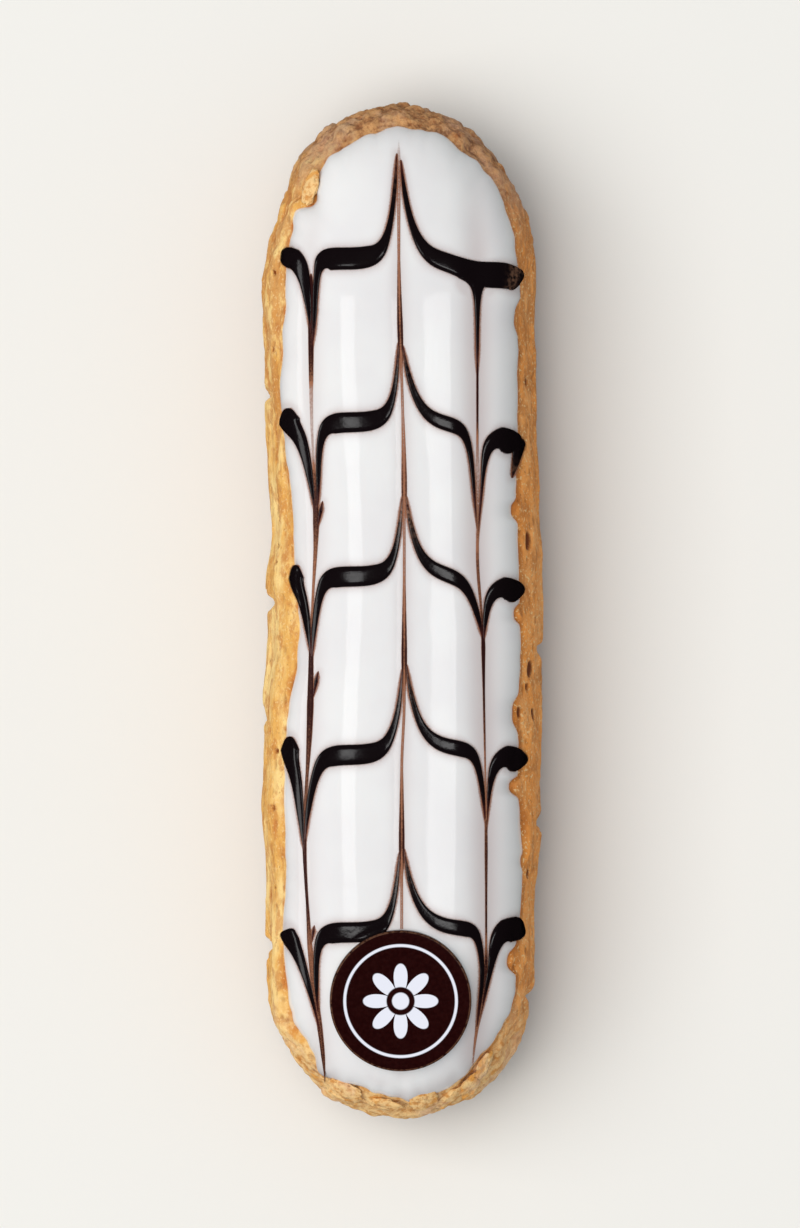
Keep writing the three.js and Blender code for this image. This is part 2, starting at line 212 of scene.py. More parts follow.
# Films of chocolate left along the drawn lines: level, half width and cover at each knot. On the middle line
# the level counts from the tip of a row, and the last film ends at the disc. Rims are how much denser the
# sides of each film are than its middle.
FILM_RIMS = (0.1, 0.45, 0.0)
FILM_RIM = Values(at=0.62, width=0.22, fade=0.2)
FRINGE = Values(width=0.4, least=0.2, lift=0.03, cover=0.42, fade=0.5)
FIRST_FILM = ((0.8, 0.05, 0.15), (-2, 0.3, 0.4))
MIDDLE_FILM = (
    (11, 0.22, 0.72), (6, 0.34, 0.95), (2, 0.44, 1.25), (0, 0.44, 1.3), (-2, 0.36, 0.95), (-4, 0.22, 0.7),
)
LAST_FILM = (0.24, 0.5)
LEFT_FILM = (
    (46.2, 0.1, 0.8), (45.4, 0.3, 1.1), (44.0, 0.42, 1.1), (40.0, 0.46, 1.0), (36.0, 0.42, 1.0),
    (33.0, 0.36, 0.88), (31.5, 0.34, 0.7), (30.5, 0.3, 0.38), (26.0, 0.24, 0.28), (21.0, 0.15, 0.3),
    (19.0, 0.2, 0.75), (16.0, 0.42, 0.95), (12.0, 0.48, 0.9), (8.5, 0.32, 0.75), (4.0, 0.22, 0.65),
    (0.0, 0.18, 0.65), (-3.0, 0.32, 0.95), (-9.0, 0.42, 1.0), (-13.0, 0.52, 1.0), (-17.0, 0.44, 0.92),
    (-22.0, 0.26, 0.85), (-26.0, 0.22, 0.8), (-30.0, 0.36, 0.95), (-36.0, 0.25, 1.0), (-40.0, 0.22, 1.0),
    (-43.0, 0.3, 0.85), (-46.0, 0.4, 0.72), (-50.0, 0.45, 0.75), (-57.0, 0.42, 0.85), (-61.0, 0.3, 0.9),
    (-64.7, 0.03, 0.8),
)
RIGHT_FILM = (
    (38.0, 0.12, 0.95), (33.0, 0.18, 1.0), (29.0, 0.18, 1.0), (26.0, 0.17, 0.9), (23.0, 0.2, 0.42),
    (20.0, 0.26, 0.28), (12.0, 0.26, 0.25), (9.0, 0.24, 0.5), (7.0, 0.24, 0.75), (2.0, 0.22, 0.7),
    (0.0, 0.16, 0.75), (-2.0, 0.25, 0.9), (-5.0, 0.32, 1.0), (-8.0, 0.24, 1.0), (-11.0, 0.18, 0.92),
    (-16.0, 0.16, 0.8), (-20.0, 0.14, 0.65), (-23.0, 0.14, 0.4), (-26.0, 0.17, 0.5), (-29.0, 0.22, 0.75),
    (-33.0, 0.24, 0.85), (-38.0, 0.18, 0.85), (-43.0, 0.16, 0.88), (-45.5, 0.18, 0.6), (-48.0, 0.25, 0.88),
    (-51.0, 0.28, 0.88), (-54.0, 0.3, 0.72), (-57.0, 0.26, 0.6), (-60.0, 0.18, 0.42), (-63.0, 0.03, 0.25),
)

# Chocolate disc.
DISC_DIAMETER = 19.4
DISC_THICKNESS = 1.8
DISC_BEVEL = 0.3
DISC_X = -0.2
DISC_Y = -53.2
DISC_SINK = 1.2
DISC_TILT = math.radians(5)

# The photograph's frame: looking straight down, the upright side of the picture is this long.
FIELD_HEIGHT = 169.2
FIELD_MIDDLE = (-0.28, -0.41)
CAMERA_DISTANCE = 2500.0


def bell(distance, width):
    """Bell curve: one at no distance, falling as exp of minus (distance / width) squared."""
    return np.exp(-np.square(distance / width))


def smooth_step(value, low, high):
    """Zero below low, one above high, and 3t^2 - 2t^3 of the way between."""
    t = np.clip((value - low) / (high - low), 0, 1)
    return t * t * (3 - 2 * t)


CORNER_TURNS = np.array((12.9898, 78.233, 37.719))
CORNER_SCALE = 43758.5453


def corner_value(cells):
    """Random value from 0 to 1 for each lattice corner: the fraction of a large multiple of a sine of its
    indices."""
    value = np.sin(cells @ CORNER_TURNS) * CORNER_SCALE
    return value - np.floor(value)


def lumps(points, size, shift=0.0):
    """Smooth random field from -1 to 1: corner values of a lattice with cells of that size, blended inside
    each cell with smoothstep weights. A size for each axis stretches the lumps; shift picks another stretch
    of the field."""
    scaled = points / np.asarray(size, float) + shift
    cells = np.floor(scaled)
    inside = scaled - cells
    inside = inside * inside * (3 - 2 * inside)
    total = np.zeros(points.shape[:-1])
    for corner in itertools.product((0, 1), repeat=3):
        weight = np.prod(np.where(corner, inside, 1 - inside), axis=-1)
        total += weight * corner_value(cells + corner)
    return 2 * total - 1


def layered(points, layers, rough=0.0):
    """Sum of layers of lumps, each with its own height plus what it gains with the roughness there."""
    return sum((height + more * rough) * lumps(points, size, shift) for height, more, size, shift in layers)


def along_wave(y, wave):
    """Cosine wave along the bun, one at its crest."""
    return np.cos(2 * np.pi * (y - wave.crest) / wave.length)


def bend(y):
    """Sideways shift of the bun's middle: a cosine wave that fades away from the middle of the bend."""
    return BEND.size * along_wave(y, BEND) * bell(y - BEND.middle, BEND.fade)


def swell(y, side):
    """Factor on the bun's width: one, plus a small cosine wave, plus fuller shoulders at the far end."""
    shoulder = np.where(side < 0, SHOULDER.left, SHOULDER.right) * smooth_step(y, *SHOULDER.run)
    return 1 + SWELL.size / HALF_WIDTH * along_wave(y, SWELL) + shoulder


def dome(r):
    """Height of the crown over the spine distance r: a superellipse quarter standing on the waist."""
    share = np.clip(np.abs(r) / HALF_WIDTH, 0, 1)
    return WAIST_HEIGHT + DOME_RISE * (1 - share ** DOME_POWER) ** (1 / DOME_POWER)


def stations(side, far, near):
    """Stations round the plan, counterclockwise from the near end of the right side. Each has its foot on
    the spine and its outward step there: straight sideways along the sides, round a half ellipse at each
    end."""
    up = np.linspace(SPINE_NEAR, SPINE_FAR, side, endpoint=False)
    down = np.linspace(SPINE_FAR, SPINE_NEAR, side, endpoint=False)
    far_turn = np.linspace(0, np.pi, far, endpoint=False)
    near_turn = np.linspace(0, np.pi, near, endpoint=False)
    foot = np.concatenate((up, np.full(far, SPINE_FAR), down, np.full(near, SPINE_NEAR)))
    step_x = np.concatenate((np.ones(side), np.cos(far_turn), -np.ones(side), -np.cos(near_turn)))
    far_y = np.sin(far_turn) * FAR_CAP / HALF_WIDTH
    near_y = -np.sin(near_turn) * NEAR_CAP / HALF_WIDTH
    step_y = np.concatenate((np.zeros(side), far_y, np.zeros(side), near_y))
    return foot, step_x, step_y


def place(station, r):
    """Plan point at spine distance r from a station: the outward step times r, swollen and bent."""
    foot, step_x, step_y = station
    y = foot + r * step_y
    return r * step_x * swell(y, step_x) + bend(y), y


def icing_reach(station):
    """Spine distance of the icing's edge: the waist less a margin, which is a constant plus a bell for each
    wave, flat on top for a short one, plus lumps that grow at both ends."""
    x, y = place(station, HALF_WIDTH)
    margin = np.full_like(x, ICING_MARGIN)
    for wave_x, wave_y, depth, width in EDGE_WAVES:
        power = 2 if width > FLAT_BITE else 4
        margin += depth * np.exp(-(np.hypot(x - wave_x, y - wave_y) / width) ** power)
    rim = np.stack((x, y, np.zeros_like(x)), axis=-1)
    margin += layered(rim, EDGE_LUMPS, smooth_step(np.abs(y), *RAGGED_ENDS))
    return HALF_WIDTH - margin / np.maximum(np.hypot(station[1], station[2]), LEAST_STEP)


def plan_station(x, y):
    """Station and spine distance of any plan point: the inverse of place, with the ends squeezed back to
    circles."""
    across = x - bend(y)
    across = across / swell(y, across)
    over_far = np.maximum(y - SPINE_FAR, 0) * HALF_WIDTH / FAR_CAP
    over_near = np.maximum(SPINE_NEAR - y, 0) * HALF_WIDTH / NEAR_CAP
    r = np.maximum(np.hypot(across, over_far + over_near), SMALL)
    step_y = (over_far * FAR_CAP - over_near * NEAR_CAP) / r / HALF_WIDTH
    return (np.clip(y, SPINE_NEAR, SPINE_FAR), across / r, step_y), r


def wander(line, y):
    """How far a drawn line wanders from its straight course: its start, plus its bells and its smooth
    steps."""
    course, bells, steps = WANDER[line]
    for middle, width, size in bells:
        course = course + size * bell(y - middle, width)
    for first, last, size in steps:
        course = course + size * smooth_step(-y, first, last)
    return course


def drifted(x, y):
    """Plan x after the wander of the drawn lines, shared out linearly between them and kept beyond them."""
    left, middle, right = (wander(line, y) for line in range(3))
    share_left = np.clip(x / DRAW_LEFT, 0, 1)
    share_right = np.clip(x / DRAW_RIGHT, 0, 1)
    return x + middle * (1 - share_left - share_right) + left * share_left + right * share_right


def drawn_lines(y):
    """Plan x of the three drawn lines at y: the straight course of each plus its wander."""
    return [course + wander(line, y) for line, course in enumerate((DRAW_LEFT, 0, DRAW_RIGHT))]


def icing_wobble(x, y):
    """Unevenness of the poured icing: slow lumps, a shallow bell of a furrow along each drawn line, and a
    raised collar where the disc is pressed in."""
    flat = np.stack((x, y, np.zeros_like(x)), axis=-1)
    wobble = layered(flat, ICING_LUMPS)
    for line, (depth, width) in zip(drawn_lines(y), FURROWS):
        wobble -= depth * bell(x - line, width)
    from_disc = np.hypot(x - DISC_X, y - DISC_Y) - DISC_DIAMETER / 2
    collar = COLLAR.height * bell(np.maximum(from_disc, 0), COLLAR.width)
    return wobble + collar * smooth_step(from_disc, COLLAR.inside, 0)


def icing_top(x, y, edge=1.0):
    """Height of the icing over a plan point: the dome, plus a skin whose edge rolls over as a superellipse
    and tucks into the crust, plus the wobble. Outside the icing it is the dome itself. An edge below one
    stops the roll short, as thick chocolate bridges it, and beyond the icing's edge comes down to the
    crust."""
    station, r = plan_station(x, y)
    reach = icing_reach(station)
    share = np.minimum(r / reach, edge)
    lip = share ** LIP_POWER
    skin = ICING_THICKNESS * np.sqrt(1 - share ** RIM_POWER) + SEAT_GAP * (1 - lip)
    skin = skin * (1 - DRAPE.loss * smooth_step(r - reach, 0, DRAPE.run))
    return dome(r) + skin + (1 - lip) * icing_wobble(x, y) - LIP_TUCK * lip


# Mesh making.
MERGE = 2e-6


def make_piece(name, grids, material, replaced=None):
    """One mesh piece from grids of points in millimetres, each columns x rows x 3. Columns close on
    themselves, and rows end in poles, so doubles are merged there. Each grid comes with its point attributes
    by name."""
    points, faces, starts = [], [], 0
    for grid, _ in grids:
        columns, rows = grid.shape[:2]
        index = starts + np.arange(columns * rows).reshape(columns, rows)
        ahead = np.roll(index, -1, axis=0)
        quads = np.stack((index[:, :-1], ahead[:, :-1], ahead[:, 1:], index[:, 1:]), axis=-1)
        points.append(grid.reshape(-1, 3))
        faces.append(quads.reshape(-1, 4))
        starts += columns * rows
    points = np.concatenate(points) * MM
    faces = np.concatenate(faces)
    mesh = bpy.data.meshes.new(name)
    mesh.vertices.add(len(points))
    mesh.vertices.foreach_set("co", points.ravel())
    mesh.loops.add(faces.size)
    mesh.loops.foreach_set("vertex_index", faces.ravel().astype(np.int32))
    mesh.polygons.add(len(faces))
    mesh.polygons.foreach_set("loop_start", np.arange(0, faces.size, 4, dtype=np.int32))
    for key in grids[0][1]:
        values = np.concatenate([marks[key].ravel() for _, marks in grids])
        mesh.attributes.new(key, "FLOAT", "POINT").data.foreach_set("value", values.astype(np.float32))
    mesh.update(calc_edges=True)
    work = bmesh.new()
    work.from_mesh(mesh)
    bmesh.ops.remove_doubles(work, verts=work.verts, dist=MERGE)
    work.to_mesh(mesh)
    work.free()
    mesh.shade_smooth()
    mesh.materials.append(material)
    piece = bpy.data.objects.new(name, mesh)
    bpy.context.scene.collection.objects.link(piece)
    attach(piece, "root")
    if replaced:
        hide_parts(replaced)


# Shader making.
class Wire:
    """One output of a node. Arithmetic on wires and numbers adds Math nodes and gives a new wire."""

    def __init__(self, finish, socket):
        self.finish = finish
        self.socket = socket

    def math(self, operation, *others, clamp=False):
        """Math node on this wire and the others, in that order."""
        settings = {"operation": operation, "use_clamp": clamp}
        return self.finish.node("ShaderNodeMath", settings, dict(enumerate((self, *others))))

    __add__ = __radd__ = partialmethod(math, "ADD")
    __mul__ = __rmul__ = partialmethod(math, "MULTIPLY")
    __sub__ = partialmethod(math, "SUBTRACT")
    __pow__ = partialmethod(math, "POWER")

    def __rsub__(self, other):
        """Another value less this one."""
        return self * -1 + other

    def clamped(self):
        """This value held between 0 and 1."""
        return self.math("ADD", 0.0, clamp=True)

    def step(self, low, high):
        """Smooth step of this value from low to high."""
        settings = {"interpolation_type": "SMOOTHSTEP"}
        ends = {"From Min": low, "From Max": high}
        return self.finish.node("ShaderNodeMapRange", settings, {"Value": self, **ends})


class Finish:
    """A material, its nodes and its Principled shader."""

    def __init__(self, name):
        self.material = bpy.data.materials.new(name)
        self.material.use_nodes = True
        self.tree = self.material.node_tree
        self.shader = self.tree.nodes["Principled BSDF"]
        self.place = self.node("ShaderNodeTexCoord", {}, {}, "Object")

    def node(self, kind, settings, values, output=0):
        """Any node: its type, its settings, then the values or links of its sockets. Gives the named
        output."""
        made = self.tree.nodes.new(kind)
        for key, value in settings.items():
            setattr(made, key, value)
        for key, value in values.items():
            self.feed(made.inputs[key], value)
        return Wire(self, made.outputs[output])

    def feed(self, socket, value):
        """A link from a wire, or a plain value, into a socket."""
        if isinstance(value, Wire):
            self.tree.links.new(value.socket, socket)
        else:
            socket.default_value = value

    def set(self, **values):
        """Sockets of the Principled shader, with spaces in their names written as underscores."""
        for key, value in values.items():
            self.feed(self.shader.inputs[key.replace("_", " ")], value)

    def mark(self, name):
        """A point attribute of the piece."""
        return self.node("ShaderNodeAttribute", {"attribute_name": name}, {}, "Fac")

    def stretched(self, scale):
        """Object coordinates, scaled along each axis."""
        return self.node("ShaderNodeMapping", {}, {"Vector": self.place, "Scale": scale})

    def along(self, axis):
        """Object coordinate along one axis, in metres."""
        return self.node("ShaderNodeSeparateXYZ", {}, {"Vector": self.place}, axis)

    def grain(self, size, detail=2.0, where=None, roughness=0.5):
        """Noise from 0 to 1, in lumps of that size in millimetres."""
        values = {"Vector": where or self.place, "Scale": 1 / (size * MM)}
        return self.node("ShaderNodeTexNoise", {}, {**values, "Detail": detail, "Roughness": roughness})

    def mix(self, share, first, second):
        """Colour that goes from the first to the second with the share."""
        settings = {"data_type": "RGBA", "clamp_factor": True}
        return self.node("ShaderNodeMix", settings, {0: share, 6: first, 7: second}, 2)

    def bump(self, height, depth):
        """Normal tipped by a height from 0 to 1 that stands for a depth in millimetres."""
        self.set(Normal=self.node("ShaderNodeBump", {}, {"Height": height, "Distance": depth * MM}))


def shade(red, green, blue):
    """Linear colour of a display colour given from 0 to 255."""
    shares = np.array((red, green, blue)) / 255
    linear = np.where(shares <= 0.04045, shares / 12.92, ((shares + 0.055) / 1.055) ** 2.4)
    return (*linear.tolist(), 1.0)


def crust_finish():
    """Baked choux: pale gold ridges, orange-brown grooves, cream where it is torn, a mottled grey-brown far
    end, a crumbly tan near end with orange spots, a deep brown underside, and over it all fine flecks, dark
    dashes and a grain drawn out along the bun. Painted shade colours its pores and holes a dark
    orange-brown, darkens a band along the icing's edge and its hollows and creases, and turns it browner on
    the right, the side away from the key light."""
    crust = Finish("baked_crust")
    names = ("groove", "pore_shade", "right", "torn", "low", "far", "near")
    groove, pore_shade, right, torn, low, far, near = (crust.mark(name) for name in names)
    along = crust.stretched((1.0, 0.46, 1.0))
    patches = crust.grain(4.2, 5.0, along, 0.6)
    streaks = crust.grain(1.6, 4.0, along, 0.6)
    dashes = crust.grain(0.8, 2.0, along)
    flecks = crust.grain(0.4)
    crumb = crust.grain(1.0, 4.0, None, 0.7)
    specks = crust.grain(0.55)
    spots = crust.grain(2.6)
    blotches = crust.grain(2.0, 4.0, crust.stretched((1.0, 0.7, 1.0)), 0.6)
    upper = crust.along("Y").step(14 * MM, 42 * MM)
    gold = crust.mix(patches.step(0.4, 0.62), shade(227, 169, 83), shade(243, 206, 132))
    # Painted shade: a deeper orange towards the right, the side away from the key light.
    gold_with_right_shade = crust.mix(right * (0.68 + far * 0.2), gold, shade(242, 142, 54))
    # Orange-brown in the grooves, with painted shade from the marks groove and low: along the icing's edge,
    # and in hollows and creases.
    bake_and_shade = (groove * 0.5 + low * 0.55 + (streaks - 0.5)).step(0.3, 0.86)
    baked_and_shaded = crust.mix(bake_and_shade, gold_with_right_shade, shade(194, 114, 42))
    blotched = crust.mix((blotches + upper * 0.1).step(0.49, 0.62) * 0.6, baked_and_shaded, shade(192, 116, 46))
    dashed = crust.mix(dashes.step(0.69, 0.77) * 0.3, blotched, shade(158, 94, 36))
    pitted = crust.mix(specks.step(0.66, 0.74) * 0.45, dashed, shade(136, 78, 30))
    flecked = crust.mix(flecks.step(0.57, 0.67) * (0.5 + right * 0.25), pitted, shade(240, 205, 146))
    far_brown = crust.mix(crumb.step(0.36, 0.6), shade(146, 94, 58), shade(196, 146, 96))
    far_grey = crust.mix(patches.step(0.45, 0.62) * 0.35, far_brown, shade(184, 156, 140))
    toasted = crust.mix(far * 0.85, flecked, far_grey)
    near_tan = crust.mix(crumb.step(0.36, 0.56), shade(202, 138, 70), shade(240, 200, 138))
    near_spot = crust.mix(spots.step(0.55, 0.64) * 0.8, near_tan, shade(216, 144, 52))
    near_pink = crust.mix(patches.step(0.5, 0.66) * 0.5, near_spot, shade(226, 186, 158))
    broken = crust.mix(near * 0.85, toasted, near_pink)
    # Painted shade: dark brown in the hollows of the rough ends, mixed with random dark specks.
    specks_and_hollow_shade = ((far + near * 0.8).clamped() * (specks * 0.7 + low * 0.3)).step(0.46, 0.66)
    speckled_and_shaded = crust.mix(specks_and_hollow_shade * 0.6, broken, shade(120, 72, 38))
    bottom = crust.mix(1 - crust.along("Z").step(0.0, 9 * MM), speckled_and_shaded, shade(120, 70, 34))
    pale = crust.mix(torn, bottom, shade(236, 200, 136))
    # Painted shade: pores and holes coloured a dark orange-brown.
    crust.set(Base_Color=crust.mix(pore_shade, pale, shade(120, 56, 6)))
    crust.set(Roughness=0.46 + flecks * 0.3 + pore_shade * 0.1, Specular_IOR_Level=0.4)
    crumbly = (far + near) * (crumb * 0.5 + specks * 0.25)
    crust.bump(flecks * 0.4 + dashes * 0.4 + streaks * 0.6 + crumbly, 0.3)
    return crust.material


def icing_finish():
    """Glossy white sugar icing, with a faint pink-grey tint beside the chocolate: partly bled chocolate,
    partly painted shade.
    """
    icing = Finish("white_icing")
    tint_and_painted_shade = icing.mark("tint_and_painted_shade")
    clouds = icing.grain(9.0)
    white = icing.mix(clouds.step(0.3, 0.7), shade(226, 224, 223), shade(222, 219, 219))
    # Pink-grey tint: chocolate bled into the icing and the pink of its thin worn edge, with painted shade
    # beside the strokes and along the drawn lines.
    icing.set(Base_Color=icing.mix(tint_and_painted_shade, white, shade(188, 172, 170)))
    icing.set(Roughness=0.05 + clouds * 0.03, Specular_IOR_Level=0.25)
    icing.set(Subsurface_Weight=0.12, Subsurface_Scale=0.0015, Subsurface_Radius=(1.0, 0.8, 0.7))
    icing.bump(icing.grain(3.5, 1.0), 0.02)
    return icing.material


def line_finish():
    """Piped dark chocolate: near black, glossy, thinning to red-brown at its edges and tails, tan where it
    is bare."""
    line = Finish("piped_chocolate")
    thin, bare = line.mark("thin"), line.mark("bare")
    grain = line.grain(0.35, 3.0)
    share = (thin + (grain - 0.5) * 0.5).step(0.4, 1.0)
    dark = line.mix(share, shade(16, 10, 12), shade(66, 30, 26))
    scraped = bare * line.grain(0.7, 4.0).step(0.34, 0.7)
    line.set(Base_Color=line.mix(scraped * 0.6, dark, shade(142, 102, 80)))
    line.set(Roughness=0.1 + grain * 0.08, Specular_IOR_Level=0.35)
    line.bump(grain, 0.01)
    return line.material


def smear_finish():
    """Film of chocolate drawn through the icing: golden brown and grainy where thin, dark red-brown where
    dense."""
    smear = Finish("drawn_chocolate")
    cover = smear.mark("cover")
    grain = smear.grain(0.22, 3.0)
    dense = (cover + (grain - 0.5) * 0.5).step(0.45, 0.95)
    smear.set(Base_Color=smear.mix(dense, shade(158, 104, 76), shade(44, 14, 12)))
    smear.set(Alpha=(cover + (grain - 0.5) * 0.35).step(0.0, 0.65))
    smear.set(Roughness=0.4, Specular_IOR_Level=0.12)
    return smear.material


def disc_finish():
    """Tempered dark chocolate with a plain ornament in white cocoa butter: a ring, a rosette and a dot, and
    a painted highlight of light brown along the bevel of its top edge.
    """
    disc = Finish("tempered_chocolate")
    across, up = disc.mark("print_x"), disc.mark("print_y")
    radius = (across * across + up * up) ** 0.5
    angle = up.math("ARCTAN2", across)
    petal = (angle * 4).math("COSINE").math("ABSOLUTE") ** 0.7 * 0.4 + 0.14
    rosette = (petal - radius).step(0, 0.02) * radius.step(0.19, 0.21)
    ring = radius.step(0.76, 0.775) * (1 - radius.step(0.8, 0.815))
    dot = 1 - radius.step(0.11, 0.13)
    grain = disc.grain(0.5, 3.0)
    brown = disc.mix(grain.step(0.3, 0.75), shade(28, 3, 3), shade(36, 6, 5))
    ornament = (rosette + ring + dot).clamped() * grain.step(0.1, 0.3) * disc.mark("face")
    # Painted highlight: a light brown line along the bevel of the top edge.
    rim = disc.mark("bevel") * grain.step(0.3, 0.6)
    rim_highlighted = disc.mix(rim * 0.55, brown, shade(112, 78, 58))
    disc.set(Base_Color=disc.mix(ornament, rim_highlighted, shade(222, 222, 232)))
    disc.set(Roughness=0.18 + grain * 0.08, Specular_IOR_Level=0.15)
    disc.bump(grain, 0.015)
    return disc.material


def floor_finish():
    """Plain pale floor."""
    floor = Finish("pale_floor")
    grain = floor.grain(40.0)
    floor.set(Base_Color=floor.mix(grain, shade(229, 226, 221), shade(230, 227, 222)))
    floor.set(Roughness=0.9, Specular_IOR_Level=0.0)
    return floor.material


# The choux bun. Holes are x, y, half width and half length. Flakes are x, y, half length, half width, turn
# in degrees and lift. Bubbles are x, y, height and radius.
BUN_SIDE, BUN_FAR, BUN_NEAR = 320, 270, 240
BASE_RINGS = (0.0, 0.35, 0.7, 0.92)
SEAT_RINGS = (0.9, 0.6, 0.0)
BASE_ROWS = len(BASE_RINGS)
FLANK_ROWS, BROW_ROWS = 24, 46
WAIST_ROW = BASE_ROWS + FLANK_ROWS
EDGE_ROW = WAIST_ROW + BROW_ROWS - 1
PORE = Values(seed=11, count=320, rows_below=14, least=0.16, spread=0.26, depth=0.22)
PORE_STRETCH = (1.0, 0.55, 1.0)
HOLE_DEPTH = 0.55
HOLES = (
    (17.2, 9.6, 0.34, 1.3), (17.95, -8.0, 0.4, 1.15), (15.75, -13.9, 0.3, 0.8), (18.0, -14.2, 0.3, 0.85),
    (17.4, 31.5, 0.22, 0.6), (17.5, -10.4, 0.25, 0.4), (17.3, -36.0, 0.25, 0.7), (-17.2, -19.2, 0.22, 0.4),
    (-17.3, 15.0, 0.16, 0.3), (-17.2, 12.8, 0.16, 0.3), (-17.0, 8.9, 0.16, 0.3), (-16.9, 6.8, 0.16, 0.3),
    (-17.6, 46.5, 0.2, 0.4), (-17.8, 36.0, 0.16, 0.3), (-17.4, -27.0, 0.16, 0.4), (-17.6, -38.0, 0.16, 0.3),
)
FLAKES = (
    (-7.9, -65.9, 2.6, 1.3, -25.0, 0.85), (-2.2, -67.7, 2.1, 0.8, -10.0, 0.5),
    (2.9, -67.0, 1.8, 1.4, 5.0, 0.95), (6.7, -66.8, 2.2, 0.8, 40.0, 0.45), (9.5, -65.0, 1.9, 1.0, 52.0, 0.7),
    (11.3, -62.3, 2.0, 0.8, 65.0, 0.4), (-12.5, 58.0, 2.4, 0.95, 74.0, 1.2),
)
FLAKE = Values(follow=0.75, thick=0.55, steepest=0.97, shift=3.1, low=(0.02, 0.2))
FLAKE_LUMPS = ((0.24, 0.6), (0.14, 0.27), (0.08, 0.13))
# Flakes take fixed crust marks; right carries some of the painted shade of the right side.
FLAKE_MARKS = {"groove": 0.3, "pore_shade": 0.0, "far": 0.0, "near": 1.0, "right": 0.4, "torn": 0.0}
FLAKE_AROUND, FLAKE_ROWS = 52, 26
BUBBLES = (
    (15.7, 14.3, 0.5, 1.3), (15.6, -0.7, 0.5, 1.2), (15.6, -13.9, 0.6, 1.6), (15.4, -24.1, 0.5, 1.4),
    (14.6, -47.8, 0.6, 1.9), (-14.8, 54.9, 0.5, 1.2),
)


def bun_profile(reach):
    """Side of the bun for each station, from the middle of its base to the middle of its seat under the
    icing: flat base, a quarter ellipse out to the waist, then the superellipse dome. Gives spine distance
    and height."""
    base = np.array(BASE_RINGS) * BASE_HALF
    turn = np.linspace(0, np.pi / 2, FLANK_ROWS, endpoint=False)
    flank_r = BASE_HALF + (HALF_WIDTH - BASE_HALF) * np.sin(turn)
    flank_z = WAIST_HEIGHT * (1 - np.cos(turn))
    last = np.arccos((reach / HALF_WIDTH) ** (DOME_POWER / 2))
    brow_r = HALF_WIDTH * np.cos(last[:, None] * np.linspace(0, 1, BROW_ROWS)) ** (2 / DOME_POWER)
    seat_r = reach[:, None] * np.array(SEAT_RINGS)
    low_r = np.broadcast_to(np.concatenate((base, flank_r)), (len(reach), WAIST_ROW))
    low_z = np.broadcast_to(np.concatenate((base * 0, flank_z)), low_r.shape)
    r = np.concatenate((low_r, brow_r, seat_r), axis=1)
    return r, np.concatenate((low_z, dome(brow_r), dome(seat_r)), axis=1)


def pore_field(points):
    """Greatest of the bells round each pore, drawn out along the bun, over all points. Pores sit on random
    points of the upper side, and most of them are small."""
    draw = np.random.default_rng(PORE.seed)
    rows = draw.integers(WAIST_ROW - PORE.rows_below, EDGE_ROW, PORE.count)
    columns = draw.integers(0, len(points), PORE.count)
    radii = PORE.least + PORE.spread * draw.random(PORE.count) ** 2
    field = np.zeros(points.shape[:-1])
    for centre, radius in zip(points[columns, rows], radii):
        apart = np.sum(np.square((points - centre) * np.array(PORE_STRETCH)), axis=-1)
        np.maximum(field, np.exp(-np.square(apart / radius ** 2)), out=field)
    return field


def hole_field(x, y):
    """Greatest of the flat-topped bells round each hole, ovals in plan drawn out along the bun."""
    field = np.zeros(x.shape)
    for hole_x, hole_y, wide, long in HOLES:
        apart = np.square((x - hole_x) / wide) + np.square((y - hole_y) / long)
        np.maximum(field, np.exp(-np.square(apart)), out=field)
    return field


def chip_field(points):
    """Greatest of the flat-topped bells round each chip along the waist, upright ovals with ragged sides."""
    x, y, z = np.moveaxis(points, -1, 0)
    ragged_y = layered(points, CHIP_LUMPS_Y)
    ragged_z = z - WAIST_HEIGHT + layered(points, CHIP_LUMPS_Z)
    field = np.zeros(x.shape)
    for side, levels in ((-1, CHIPS_LEFT), (1, CHIPS_RIGHT)):
        for level in levels:
            apart = np.square((y - level + ragged_y) / CHIP.radius) + np.square(ragged_z / CHIP.tall)
            np.maximum(field, np.exp(-np.square(apart)) * (side * x > 0), out=field)
    return field


def flake_grid(flake_x, flake_y, long, wide, turned, lift):
    """Torn flake at the icing's edge: a flat oval ball turned in plan, half sunk in the crust and tipped
    part of the way down its slope, uneven by lumps along its rays."""
    around = np.linspace(0, 2 * np.pi, FLAKE_AROUND, endpoint=False)[:, None]
    up = np.linspace(-np.pi / 2, np.pi / 2, FLAKE_ROWS)
    ray_x, ray_y = np.cos(around) * np.cos(up), np.sin(around) * np.cos(up)
    ray = np.stack((ray_x, ray_y, np.sin(up) + 0 * around), axis=-1)
    rough = layered(ray, [(height, 0, size, FLAKE.shift + flake_x) for height, size in FLAKE_LUMPS])
    swollen = ray * (1 + rough)[..., None]
    flat_x, flat_y = swollen[..., 0] * long, swollen[..., 1] * wide
    cos_turn, sin_turn = math.cos(math.radians(turned)), math.sin(math.radians(turned))
    x = flake_x + flat_x * cos_turn - flat_y * sin_turn
    y = flake_y + flat_x * sin_turn + flat_y * cos_turn
    steepest = HALF_WIDTH * FLAKE.steepest
    _, r = plan_station(x, y)
    _, middle_r = plan_station(np.array(flake_x), np.array(flake_y))
    middle_z = dome(np.minimum(middle_r, steepest))
    slope = dome(np.minimum(r, steepest)) - middle_z
    z = middle_z + FLAKE.follow * slope + lift + FLAKE.thick * swollen[..., 2]
    marks = {name: np.full_like(x, strength) for name, strength in FLAKE_MARKS.items()}
    # Painted shade: the mark low darkens the low parts of the flake's lumps.
    marks["low"] = smooth_step(-rough, *FLAKE.low)
    return np.stack((x, y, z), axis=-1), marks


